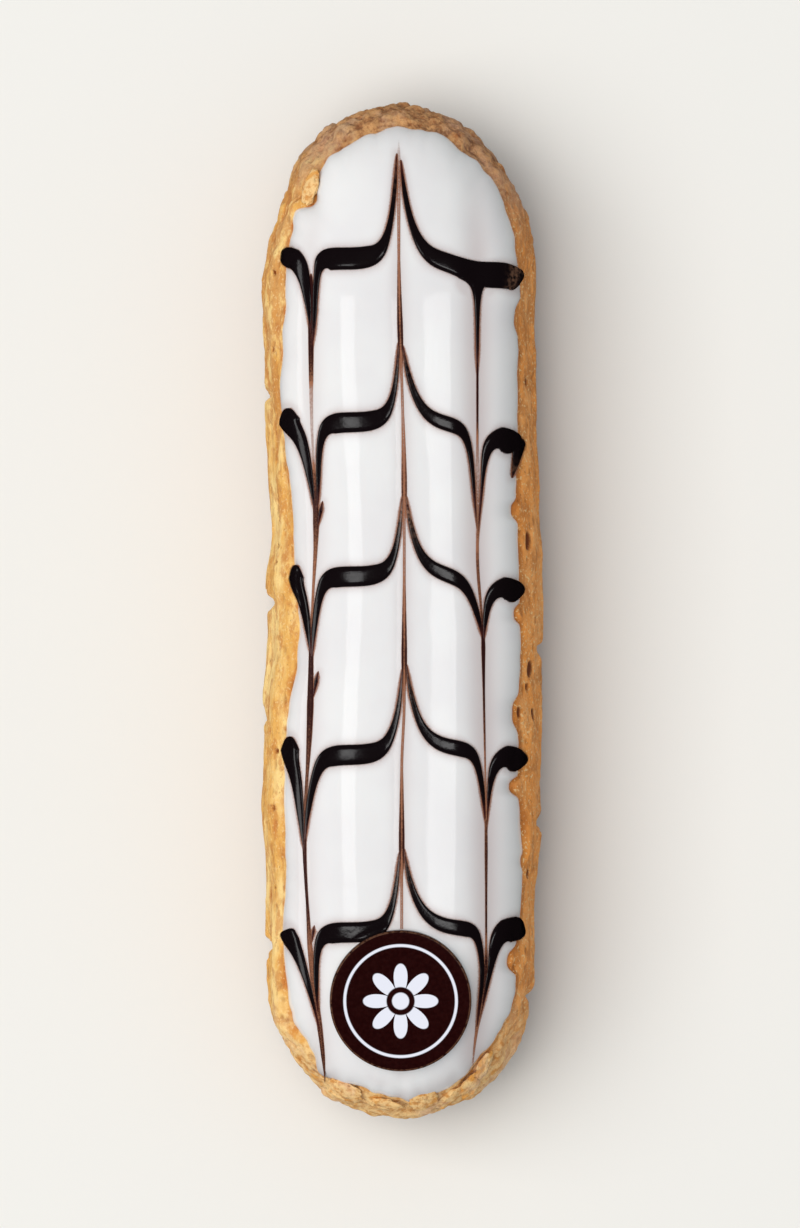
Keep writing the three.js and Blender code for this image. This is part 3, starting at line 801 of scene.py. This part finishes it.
def make_bun(material):
    """Bun: the profile carried round the stations, then pushed along its own normal by the crust's relief:
    piped ridges as a cosine of the way up, crags, rough creased ends, fine skin, chips, bulges, bubbles at
    the icing's edge, pores and holes. Torn flakes are grids of their own."""
    station = tuple(part[:, None] for part in stations(BUN_SIDE, BUN_FAR, BUN_NEAR))
    r, z = bun_profile(icing_reach(station)[:, 0])
    run = np.hypot(np.diff(r, axis=1), np.diff(z, axis=1))
    arc = np.concatenate((np.zeros((len(r), 1)), np.cumsum(run, axis=1)), axis=1)
    arc = arc - arc[:, BASE_ROWS:BASE_ROWS + 1]
    from_waist = arc - arc[:, WAIST_ROW:WAIST_ROW + 1]
    to_edge = arc[:, EDGE_ROW:EDGE_ROW + 1] - arc
    x, y = place(station, r)
    points = np.stack((x, y, z), axis=-1)

    end = smooth_step(np.abs(y), *END_CRAG.run)
    groove = np.cos(2 * np.pi * (from_waist + layered(points, RIDGE_LUMPS)) / RIDGE.pitch)
    kept = 1 - RIDGE.lost_at_ends * end
    kept = kept * (1 - RIDGE.lost_above * smooth_step(from_waist, *RIDGE.fade))
    relief = -RIDGE.height * groove * kept
    rough = end * (END_CRAG.low + (1 - END_CRAG.low) * smooth_step(from_waist, *END_CRAG.rise))
    end_crags = END_CRAG.height * rough * lumps(points, END_CRAG.size)
    relief += CRAG.height * lumps(points, CRAG.size) + end_crags * (1 + END_CRAG.near * (y < 0))
    fine = layered(points, SKIN_LUMPS, rough)
    crease = bell(lumps(points, CREASE.size, CREASE.shift), CREASE.width) * rough
    relief += fine - CREASE.depth * crease
    torn = chip_field(points)
    relief -= CHIP.depth * torn
    for bulge_x, bulge_y, height, radius in BULGES:
        relief += height * bell(np.hypot(x - bulge_x, y - bulge_y), radius)
    relief *= smooth_step(arc, 0, BASE_FADE) * smooth_step(to_edge, 0, EDGE_FADE)
    blister = np.zeros_like(r)
    for bubble_x, bubble_y, height, radius in BUBBLES:
        bubble = bell(np.hypot(x - bubble_x, y - bubble_y), radius)
        relief += height * bubble * smooth_step(to_edge, 0, BUBBLE_FADE)
        blister = np.maximum(blister, bubble)
    small = pore_field(points)
    large = hole_field(x, y) * smooth_step(from_waist, 0, 1)
    relief -= PORE.depth * small + HOLE_DEPTH * large

    slope_r, slope_z = np.gradient(r, axis=1), np.gradient(z, axis=1)
    steep = np.maximum(np.hypot(slope_r, slope_z), TINY)
    in_side = (arc > 0) & (to_edge > 0)
    r = r + np.where(in_side, relief * slope_z / steep, 0)
    z = z - np.where(in_side, relief * slope_r / steep, 0)
    z = np.maximum(z, 0)
    x, y = place(station, r)
    # Painted shade: the mark right grows towards the right side, away from the key light, and deepens the
    # crust's orange there.
    right = smooth_step(x, *RIGHT_SHADE_RUN)
    # Painted shade: a darker band of crust along the icing's edge, where the icing's lip shades it, deeper
    # on the right. It goes into the groove mark.
    painted_edge_shade = (EDGE_SHADE_MARK.left + EDGE_SHADE_MARK.more_right * right) * bell(to_edge, EDGE_SHADE_MARK.width)
    ridged = GROOVE_MARK.plain + GROOVE_MARK.ridge * groove * kept
    marks = {
        "groove": np.maximum(ridged, np.maximum(blister, painted_edge_shade)),
        # Painted shade: the pore mark darkens pores and holes.
        "pore_shade": np.clip(PORE_SHADE_MARK.small * small + smooth_step(large, *PORE_SHADE_MARK.run), 0, 1),
        "far": smooth_step(y + FAR_END.slant * x, *FAR_END.run),
        "near": smooth_step(-y, *NEAR_RUN),
        "right": right,
        "torn": TORN_MARK.strength * smooth_step(torn, *TORN_MARK.run),
        # Painted shade: the mark low darkens the low places of the fine relief and the creases.
        "low": np.maximum(smooth_step(-fine, *HOLLOW_SHADE_MARK.run), HOLLOW_SHADE_MARK.crease * crease),
    }
    grids = [(np.stack((x, y, z), axis=-1), marks)] + [flake_grid(*flake) for flake in FLAKES]
    make_piece("eclair_bun", grids, material, "choux_bun")


# Chocolate lines and the films beside them.
LINE_STEPS = 150
LINE_ROUND = 18
LINE_SAMPLES = 1500
BEND_SPAN = 14
PATH_ROUND = 0.85
SLOPE_STEP = 0.05
FILM_STEPS = 400
FILM_LIFT = 0.07
FILM_SINK = 0.05
LEAST_HALF = 1e-3


def soften(values, span):
    """Moving average along the last axis, over span samples each way, with the end values repeated."""
    first = np.repeat(values[..., :1], span + 1, axis=-1)
    last = np.repeat(values[..., -1:], span, axis=-1)
    total = np.cumsum(np.concatenate((first, values, last), axis=-1), axis=-1)
    window = 2 * span + 1
    return (total[..., window:] - total[..., :-window]) / window


def pull_down(x, line, before, after):
    """Drop of a row beside a drawn line: an exponential of the distance, with its own depth and length on
    each side."""
    depth = np.where(x < line, before[0], after[0])
    length = np.where(x < line, before[1], after[1])
    return depth * np.exp(-np.abs(x - line) / length)


def across_right(row, x):
    """Share of the way across the right drawn line: a step at the line, or a slope where a row stayed
    whole."""
    before, after = (share * row.bridge for share in BRIDGE_SPREAD)
    return smooth_step(x - DRAW_RIGHT, before, after + SMALL)


def row_height(row, x):
    """Plan y of a row of chocolate at x: its level, dropped in steps from left to right, raised or hooked at
    the outer ends, and pulled along the drawn lines by exponentials, up in the middle and down at both
    sides."""
    right_drop = row.mid_drop + (row.outer_drop - row.mid_drop) * across_right(row, x)
    level = row.y - np.select((x < DRAW_LEFT, x < 0), (0.0, row.left_drop), right_drop)
    level = level + row.left_rise * np.maximum(DRAW_LEFT - x, 0)
    level = level + row.spike * (np.maximum(SPIKE_RUN - row.left_end - x, 0) / SPIKE_RUN) ** SPIKE_POWER
    level = level - row.hook * np.square(np.maximum(x - HOOK_START, 0) / HOOK_RUN)
    middle = np.where(x < 0, MIDDLE_PULL.left, MIDDLE_PULL.right)
    level = level + row.peak * np.exp(-np.abs(x) / middle)
    level = level - pull_down(x, DRAW_LEFT, row.left_outer, row.left_inner)
    return level - pull_down(x, DRAW_RIGHT, row.right_inner, row.right_outer)


def beside_lines(row, x, y):
    """Plan x kept off the drawn lines, so that the strokes from both sides run beside each other: a gap that
    fades as an exponential of the distance to the line, and closes as the stroke runs down an outer line."""
    kept = 1 - smooth_step(row.y - y, *GAP_CLOSE)
    left = kept * np.where(x < DRAW_LEFT, row.left_outer[2], row.left_inner[2])
    right = kept * np.where(x < DRAW_RIGHT, row.right_inner[2], row.right_outer[2])
    for line, gap in ((DRAW_LEFT, left), (0, MIDDLE_GAP), (DRAW_RIGHT, right)):
        x = x + gap * np.sign(x - line) * np.exp(-np.abs(x - line) / GAP_FADE)
    return x


def row_stretch(row, start, stop):
    """Path of one stretch of a row from start to stop along x: points evenly spaced along its length, as
    plan x and y with corners rounded by a moving average, and the length so far."""
    inset = ON_LINE * np.sign(stop - start)
    x = np.linspace(start + inset, stop - inset, LINE_SAMPLES)
    y = row_height(row, x)
    x = drifted(beside_lines(row, x, y), y)
    length = np.concatenate(((0,), np.cumsum(np.hypot(np.diff(x), np.diff(y)))))
    even = np.linspace(0, length[-1], LINE_STEPS)
    span = max(int(PATH_ROUND / even[1]), 1)
    x, y = (soften(soften(np.interp(even, length, along), span), span) for along in (x, y))
    return x, y, even


def surface_normal(x, y):
    """Unit normal of the icing's top at plan points, from small steps each way."""
    step = SLOPE_STEP
    slope_x = (icing_top(x + step, y, BRIDGED_EDGE) - icing_top(x - step, y, BRIDGED_EDGE)) / (2 * step)
    slope_y = (icing_top(x, y + step, BRIDGED_EDGE) - icing_top(x, y - step, BRIDGED_EDGE)) / (2 * step)
    normal = np.stack((-slope_x, -slope_y, np.ones_like(x)), axis=-1)
    return normal / np.linalg.norm(normal, axis=-1, keepdims=True)


def ribbon(x, y, half, height, sink):
    """Ribbon along a plan path on the icing: a loop at each point, wide by the half width, its upper side a
    flat-topped arch of that height and its lower side sunk, every point standing off the icing along the
    icing's normal. On the inside of a bend the half width is held below the bend's radius."""
    turn = np.linspace(0, 2 * np.pi, LINE_ROUND, endpoint=False)[:, None]
    along_x, along_y = np.gradient(x), np.gradient(y)
    size = np.hypot(along_x, along_y)
    along_x, along_y = along_x / size, along_y / size
    over = np.cos(turn)
    bending = (along_x * np.gradient(along_y) - along_y * np.gradient(along_x)) / size
    inside = half * np.maximum(bending * np.sign(over), 0)
    reach = half * over * soften((1 + inside ** 4) ** -0.25, BEND_SPAN)
    plan_x = x - along_y * reach
    plan_y = y + along_x * reach
    arch = np.sqrt(np.clip(1 - np.abs(over) ** ARCH_POWER, 0, 1))
    rise = np.where(np.sin(turn) > 0, height * arch, sink * np.sin(turn))
    foot = np.stack((plan_x, plan_y, icing_top(plan_x, plan_y, BRIDGED_EDGE)), axis=-1)
    return foot + rise[..., None] * surface_normal(plan_x, plan_y), over


def blunt_end(distance, half):
    """Factor that rounds the end of a ribbon: the quarter circle of its half width, one past it."""
    share = np.clip(1 - distance / np.maximum(half, SMALL), 0, 1)
    return np.sqrt(1 - share * share)


def tail_end(length, depth):
    """Factor that thins the end of a stroke to a point: a square root over a share of the depth it is drawn
    to."""
    return np.sqrt(np.clip((length[-1] - length) / (TAIL.share * depth), 0, 1))


def head_half(length, head, width, tail, taper):
    """Half width of an outer stroke: full along its head, then an exponential fall to the tail's width."""
    return 0.5 * (tail + (width - tail) * np.exp(-np.maximum(length - head, 0) / taper))


def band_half(x, y, length, width, thin):
    """Half width of a stroke of constant thickness along the bun: narrowed to thin where it runs along the
    bun, with a start that is pointed as a square root."""
    along_x, along_y = np.gradient(x), np.gradient(y)
    flat = np.abs(along_x) / np.maximum(np.hypot(along_x, along_y), TINY)
    return 0.5 * np.hypot(width * flat, thin) * np.sqrt(np.clip(length / START_RUN, 0, 1))


def body(half, kind):
    """How full a stroke stands: its half width, up to the most that its kind counts, to its kind's power."""
    most, power = BODY[kind]
    return np.minimum(half, most) ** power


def inner_ribbon(row, stop, width, tail, depth):
    """Stretch of a row from the middle line to an outer one: a band with a pointed start that is scraped
    bare and a thin tail."""
    x, y, length = row_stretch(row, ON_LINE * np.sign(stop), stop)
    drawn = np.clip((row.y - y) / depth, 0, 1)
    to_tail = smooth_step(length, *(share * length[-1] for share in TAIL.run))
    thin = TAIL.middle + (tail[0] + (tail[1] - tail[0]) * drawn - TAIL.middle) * to_tail
    half = band_half(x, y, length, width, thin) * tail_end(length, depth)
    return x, y, half, body(half, "band"), row.bare_tip * (1 - smooth_step(length, *BARE_RUN))


def left_ribbon(row):
    """Outer stretch on the left: from a head at the icing's edge, pointed or blunt, to a thin tail."""
    x, y, length = row_stretch(row, -row.left_end, DRAW_LEFT)
    half = head_half(length, HEAD_LENGTH, row.left_width, TAIL.left[1], row.left_taper)
    point = np.clip(length / HEAD_LENGTH, 0, 1) ** HEAD_POWER
    point = point + (blunt_end(length, half) - point) * row.blunt
    shaped = half * point * tail_end(length, row.left_outer[0])
    return x, y, shaped, body(half, "left") * point, 0 * half


def right_ribbon(row):
    """Outer stretch on the right: from a round blob at the icing's edge to a thin tail."""
    x, y, length = row_stretch(row, row.right_end, DRAW_RIGHT)
    half = head_half(length, BLOB_LENGTH, row.right_width, TAIL.right[1], row.right_taper)
    blunt = blunt_end(length, half)
    shaped = half * blunt * tail_end(length, row.right_outer[0])
    return x, y, shaped, body(half, "right") * blunt, 0 * half


def whole_ribbon(row):
    """Right half of a row that stayed whole across the drawn line: a band from the middle line to the
    icing's edge, widening to a blunt end with a scraped patch before it."""
    x, y, length = row_stretch(row, ON_LINE, row.right_end)
    width = row.right_band + (row.right_width - row.right_band) * across_right(row, x)
    half = band_half(x, y, length, width, TAIL.middle)
    left = length[-1] - length
    bare = row.bare_end * bell(left - BARE_PATCH.back, BARE_PATCH.width)
    half = half * blunt_end(left, WHOLE_ROUND * half)
    return x, y, half, body(half, "band"), bare


def stem_ribbon(row):
    """Stem of a row that stayed whole across the right drawn line: straight along the line, its half width a
    thin constant plus two exponentials of the way below the row's lower edge, a short flare and a longer
    body."""
    share = np.linspace(0, 1, LINE_STEPS)
    fall = STEM.length * share ** STEM.crowd - STEM.above
    y = row.y - row.outer_drop - STEM.foot - fall
    below = np.maximum(fall, STEM.top)
    half = STEM.thin + STEM.flare * np.exp(-below / STEM.flare_run)
    half = half + STEM.body * np.exp(-below / STEM.body_run)
    half = half * blunt_end(fall + STEM.above + STEM.start, STEM.round)
    half = half * np.sqrt(np.clip((1 - share) * STEM.point, 0, 1))
    return drawn_lines(y)[2], y, half, body(half, "stem"), 0 * half


def row_ribbons(row):
    """The ribbons of a row, each as plan x, plan y, half width, body for the height, and bareness."""
    ribbons = [inner_ribbon(row, DRAW_LEFT, row.band, TAIL.left, row.left_inner[0]), left_ribbon(row)]
    if row.bridge:
        return ribbons + [whole_ribbon(row), stem_ribbon(row)]
    inner = inner_ribbon(row, DRAW_RIGHT, row.right_band, TAIL.right, row.right_inner[0])
    return ribbons + [inner, right_ribbon(row)]


def drip_ribbon():
    """Drip at the outer end of one row: a short path down the icing's edge that leans inwards as a power of
    the way down and thins out as a square root."""
    share = np.linspace(0, 1, LINE_STEPS)
    x = DRIP.x - DRIP.lean * share ** DRIP.curl
    y = DRIP.top + (DRIP.bottom - DRIP.top) * share
    half = 0.5 * DRIP.width * np.sqrt(np.clip(share * DRIP.start, 0, 1))
    half = half * np.sqrt(1 - share) * (1 - DRIP.narrow * share)
    return x, y, half, body(half, "drip"), DRIP.bare * bell(share - DRIP.bare_at, DRIP.bare_width)


def barb_ribbon(start_x, start_y, end_x, end_y, half):
    """Barb beside a drawn line: a short straight stroke from a pointed start to the line, widest a third of
    the way."""
    share = np.linspace(0, 1, LINE_STEPS)
    x = start_x + (end_x - start_x) * share
    y = start_y + (end_y - start_y) * share
    wide = half * np.minimum(share * BARB.rise, 1) ** BARB.power
    wide = wide * np.minimum((1 - share) * BARB.fall, 1) ** BARB.power
    return x, y, wide, body(wide, "band"), 0 * wide


def all_ribbons():
    """Every ribbon of chocolate on the icing."""
    strokes = [made for row in ROWS for made in row_ribbons(row)]
    return strokes + [drip_ribbon()] + [barb_ribbon(*barb) for barb in BARBS]


def make_lines(material):
    """All ribbons as one piece. The mark thin goes from 0 on the crown of a ribbon to 1 at its edges and
    tails, and bare marks ends where the chocolate is scraped thin."""
    grids = []
    for x, y, half, full, bare in all_ribbons():
        grid, over = ribbon(x, y, half, LINE_HEIGHT * full, LINE_SINK * np.minimum(full, 1))
        grid[..., 2] += layered(grid, LINE_LUMPS) * np.minimum(full, 1)
        edge = np.abs(over) ** THIN_MARK.power * THIN_MARK.edge
        thin = np.clip(edge + smooth_step(THIN_MARK.half - half, 0, THIN_MARK.run), 0, 1)
        grids.append((grid, {"thin": thin, "bare": bare + 0 * over}))
    make_piece("feather_lines", grids, material)


def film(line, knots, rim):
    """Film on one drawn line, its half width and cover going evenly from knot to knot along the bun. Rim is
    how much denser its sides are than its middle."""
    levels, halves, covers = np.array(knots).T
    y = np.linspace(levels[0], levels[-1], FILM_STEPS)
    x = drawn_lines(y)[line]
    half = np.maximum(np.interp(-y, -levels, halves), LEAST_HALF)
    grid, over = ribbon(x, y, half, np.full_like(x, FILM_LIFT), np.full_like(x, FILM_SINK))
    across = 1 - rim + rim * bell(np.abs(over) - FILM_RIM.at, FILM_RIM.width)
    across = across * smooth_step(1 - np.abs(over), 0, FILM_RIM.fade)
    return grid, {"cover": np.interp(-y, -levels, covers) * across}


def middle_knots():
    """Knots of the film on the middle drawn line: thin below the tip of a row, then denser towards the next
    tip."""
    first, *others = ((row.y + row.peak, row.film) for row in ROWS)
    knots = [(first[0] + rise, half, cover) for rise, half, cover in FIRST_FILM]
    for tip, dense in others:
        knots += [(tip + rise, half, cover * dense) for rise, half, cover in MIDDLE_FILM]
    return knots + [(DISC_Y + DISC_DIAMETER / 2, *LAST_FILM)]


def make_smears(material):
    """Films on the drawn lines as one piece, with a fringe under every ribbon."""
    films = (LEFT_FILM, middle_knots(), RIGHT_FILM)
    grids = [film(line, knots, rim) for line, (knots, rim) in enumerate(zip(films, FILM_RIMS))]
    for x, y, half, full, _ in all_ribbons():
        wide = half + FRINGE.width * np.minimum(half / FRINGE.least, 1)
        grid, over = ribbon(x, y, np.maximum(wide, LEAST_HALF), FRINGE.lift * full, FILM_SINK * full)
        cover = FRINGE.cover * smooth_step(1 - np.abs(over), 0, FRINGE.fade)
        grids.append((grid, {"cover": cover + 0 * half}))
    make_piece("drawn_smears", grids, material)


# The chocolate disc.
DISC_AROUND = 192
DISC_RINGS = 40
BASE_STRIDE = 8
BEVEL_STEPS = 9


def make_disc(material):
    """Disc: a bevelled profile turned round its axis, its top very slightly uneven, tipped and set in the
    icing."""
    radius, bevel = DISC_DIAMETER / 2, DISC_BEVEL
    turn = np.linspace(0, 2 * np.pi, DISC_AROUND, endpoint=False)[:, None]
    quarter = np.linspace(0, np.pi / 2, BEVEL_STEPS)
    inner, shoulder = radius - bevel, DISC_THICKNESS - bevel
    rim_r = np.concatenate((inner + bevel * np.sin(quarter), inner + bevel * np.cos(quarter)))
    rim_z = np.concatenate((bevel - bevel * np.cos(quarter), shoulder + bevel * np.sin(quarter)))
    rings = np.linspace(0, inner, DISC_RINGS, endpoint=False)
    base = rings[::BASE_STRIDE]
    r = np.concatenate((base, rim_r, rings[::-1]))
    z = np.concatenate((base * 0, rim_z, np.full(DISC_RINGS, DISC_THICKNESS)))
    x, y = r * np.cos(turn), r * np.sin(turn)
    z = np.broadcast_to(z, x.shape)
    flat = np.stack((x, y, z), axis=-1)
    on_face = (z > DISC_THICKNESS - SMALL) * np.ones_like(x)
    z = z + layered(flat, DISC_LUMPS) * smooth_step(z, 0, DISC_THICKNESS)
    # Where the painted highlight along the bevel of the top edge goes.
    painted_rim_highlight = smooth_step(z, shoulder, shoulder + 0.5 * bevel) * (1 - on_face)
    marks = {"print_x": x / radius, "print_y": y / radius, "face": on_face, "bevel": painted_rim_highlight}
    lift = icing_top(np.array((DISC_X,)), np.array((DISC_Y,)))[0] - DISC_SINK
    tipped_y = y * math.cos(DISC_TILT) - z * math.sin(DISC_TILT)
    tipped_z = y * math.sin(DISC_TILT) + z * math.cos(DISC_TILT)
    grid = np.stack((x + DISC_X, tipped_y + DISC_Y, tipped_z + lift), axis=-1)
    make_piece("chocolate_medal", [(grid, marks)], material, "chocolate_disc")


# The icing.
ICING_SIDE, ICING_FAR, ICING_NEAR = 260, 200, 170
UNDER_RINGS = (0.0, 0.5, 0.85, 0.96)
UNDER_LIFT = 0.05
TOP_ROWS = 64
EDGE_CROWD = 2.1

# Pink-grey tint and painted shade on the icing: beside the strokes and along each drawn line (strength,
# width), partly chocolate that has bled into the icing and partly painted shade, and a pink tint at the worn
# near edge, where the icing is thin.
STROKE_TINT_AND_SHADE = Values(strength=0.5, width=0.7, stride=3)
LINE_TINT_AND_SHADE = ((0.34, 1.6), (0.45, 1.2), (0.68, 2.0))
LINE_SHADE_NEAR_RUN, LINE_SHADE_FAR_RUN = (-66, -60), (-64, -42)
WORN = Values(strength=0.4, width=1.7, run=(55, 64), size=4.0, shift=1.7, patches=(-0.3, 0.4))


def tint_and_shade_field(x, y):
    """Pink-grey tint beside the chocolate, partly bled chocolate and partly painted shade: the greatest of a
    bell of the distance to the nearest stroke and a bell across each drawn line."""
    nearest = np.full(x.shape, np.inf)
    for stroke_x, stroke_y, half, _, _ in all_ribbons():
        some = slice(None, None, STROKE_TINT_AND_SHADE.stride)
        apart = np.hypot(x[..., None] - stroke_x[some], y[..., None] - stroke_y[some]) - half[some]
        nearest = np.minimum(nearest, apart.min(axis=-1))
    tint_and_painted_shade = STROKE_TINT_AND_SHADE.strength * bell(np.maximum(nearest, 0), STROKE_TINT_AND_SHADE.width)
    in_run = smooth_step(y, *LINE_SHADE_NEAR_RUN) * smooth_step(-y, *LINE_SHADE_FAR_RUN)
    for line, (strength, width) in zip(drawn_lines(y), LINE_TINT_AND_SHADE):
        tint_and_painted_shade = np.maximum(tint_and_painted_shade, strength * bell(x - line, width) * in_run)
    return tint_and_painted_shade


def make_icing(material):
    """Icing: rings from the middle of its underside out to its edge, then rings that crowd at the edge and
    go in over the top to the spine."""
    station = tuple(part[:, None] for part in stations(ICING_SIDE, ICING_FAR, ICING_NEAR))
    reach = icing_reach(station)
    under = np.array(UNDER_RINGS)
    over = 1 - np.linspace(0, 1, TOP_ROWS) ** EDGE_CROWD
    rings = np.concatenate((under, over))
    x, y = place(station, reach * rings)
    top = slice(len(under), None)
    under_z = dome(reach * under) + UNDER_LIFT
    z = np.concatenate((under_z, icing_top(x[:, top], y[:, top])), axis=1)
    grid = np.stack((x, y, z), axis=-1)
    patches = smooth_step(lumps(grid, WORN.size, WORN.shift), *WORN.patches)
    worn = bell(reach * (1 - rings), WORN.width) * smooth_step(-y, *WORN.run) * patches
    # Tint and painted shade: bled chocolate with painted shade beside it, and a pink tint where the icing's
    # near edge is worn thin.
    tint_and_painted_shade = np.maximum(tint_and_shade_field(x, y), WORN.strength * worn)
    make_piece("white_glaze", [(grid, {"tint_and_painted_shade": tint_and_painted_shade})], material, "icing")


# The studio, in metres and degrees. Strips are seen from the bun between two angles from overhead, and have
# a length and a radiance.
FLOOR_HALF = 4.0
WORLD_FILL = 0.495
WORLD_TINT = (0.93, 1.003, 1.05, 1.0)
KEY = Values(angle=-25, distance=3.0, size=(2.9, 2.6), power=83, tint=(1.008, 0.988, 0.963))
STRIP_DISTANCE = 0.8
STRIPS = {
    "left_strip": (-24.5, -15, 0.13, 4.2),
    "right_strip": (6, 25, 0.13, 4.4),
    "side_strip": (-86, -70, 0.4, 2.6),
}
SENSOR_HEIGHT = 36
CLIP_END = 20


def make_floor(material):
    """Floor: one wide flat square under the bun, kept out of its gloss so that dark chocolate stays dark."""
    half = FLOOR_HALF
    mesh = bpy.data.meshes.new("floor")
    corners = [(-half, -half, 0), (half, -half, 0), (half, half, 0), (-half, half, 0)]
    mesh.from_pydata(corners, [], [(0, 1, 2, 3)])
    mesh.materials.append(material)
    floor = bpy.data.objects.new("floor", mesh)
    floor.visible_glossy = False
    bpy.context.scene.collection.objects.link(floor)


def add_panel(name, angle, distance, size, power, glossy):
    """Rectangular light panel aimed at the bun, tipped from overhead about the bun's length: a negative
    angle is to the left. It shows in glossy light alone or in diffuse light alone, never to the camera."""
    light = bpy.data.lights.new(name, "AREA")
    light.shape = "RECTANGLE"
    light.size, light.size_y = size
    light.energy = power
    panel = bpy.data.objects.new(name, light)
    panel.location = (distance * math.sin(angle), 0, distance * math.cos(angle))
    panel.rotation_euler = (0, angle, 0)
    panel.visible_camera = False
    panel.visible_diffuse = not glossy
    panel.visible_glossy = glossy
    bpy.context.scene.collection.objects.link(panel)
    return light


def add_strip(name, low, high, length, radiance):
    """Glossy-only strip that fills the angle from low to high. Its watts are pi times its area times its
    radiance."""
    low, high = math.radians(low), math.radians(high)
    size = (2 * STRIP_DISTANCE * math.tan(abs(high - low) / 2), length)
    power = math.pi * size[0] * size[1] * radiance
    add_panel(name, (low + high) / 2, STRIP_DISTANCE, size, power, True)


def make_world():
    """Even, slightly cool fill from all round. It isn't seen in gloss, so that dark chocolate stays dark."""
    world = bpy.data.worlds.new("studio")
    world.use_nodes = True
    background = world.node_tree.nodes["Background"]
    background.inputs["Color"].default_value = WORLD_TINT
    background.inputs["Strength"].default_value = WORLD_FILL
    world.cycles_visibility.glossy = False
    bpy.context.scene.world = world


def make_studio():
    """Even fill, one large soft panel from the upper left, and strips that only show as gloss on the
    icing."""
    make_world()
    key = add_panel("key", math.radians(KEY.angle), KEY.distance, KEY.size, KEY.power, False)
    key.color = KEY.tint
    for name, strip in STRIPS.items():
        add_strip(name, *strip)


def add_camera():
    """Camera straight above, turned so that +Y is up in the picture, framing the photograph's field at the
    waist."""
    camera = bpy.data.cameras.new("camera")
    camera.sensor_fit = "VERTICAL"
    camera.sensor_height = SENSOR_HEIGHT
    camera.lens = SENSOR_HEIGHT * CAMERA_DISTANCE / FIELD_HEIGHT
    camera.clip_end = CLIP_END
    view = bpy.data.objects.new("camera", camera)
    view.location = (FIELD_MIDDLE[0] * MM, FIELD_MIDDLE[1] * MM, (WAIST_HEIGHT + CAMERA_DISTANCE) * MM)
    bpy.context.scene.collection.objects.link(view)
    bpy.context.scene.camera = view
    bpy.context.scene.view_settings.view_transform = "Standard"


make_bun(crust_finish())
make_lines(line_finish())
make_smears(smear_finish())
make_disc(disc_finish())
make_icing(icing_finish())
make_floor(floor_finish())
make_studio()
add_camera()
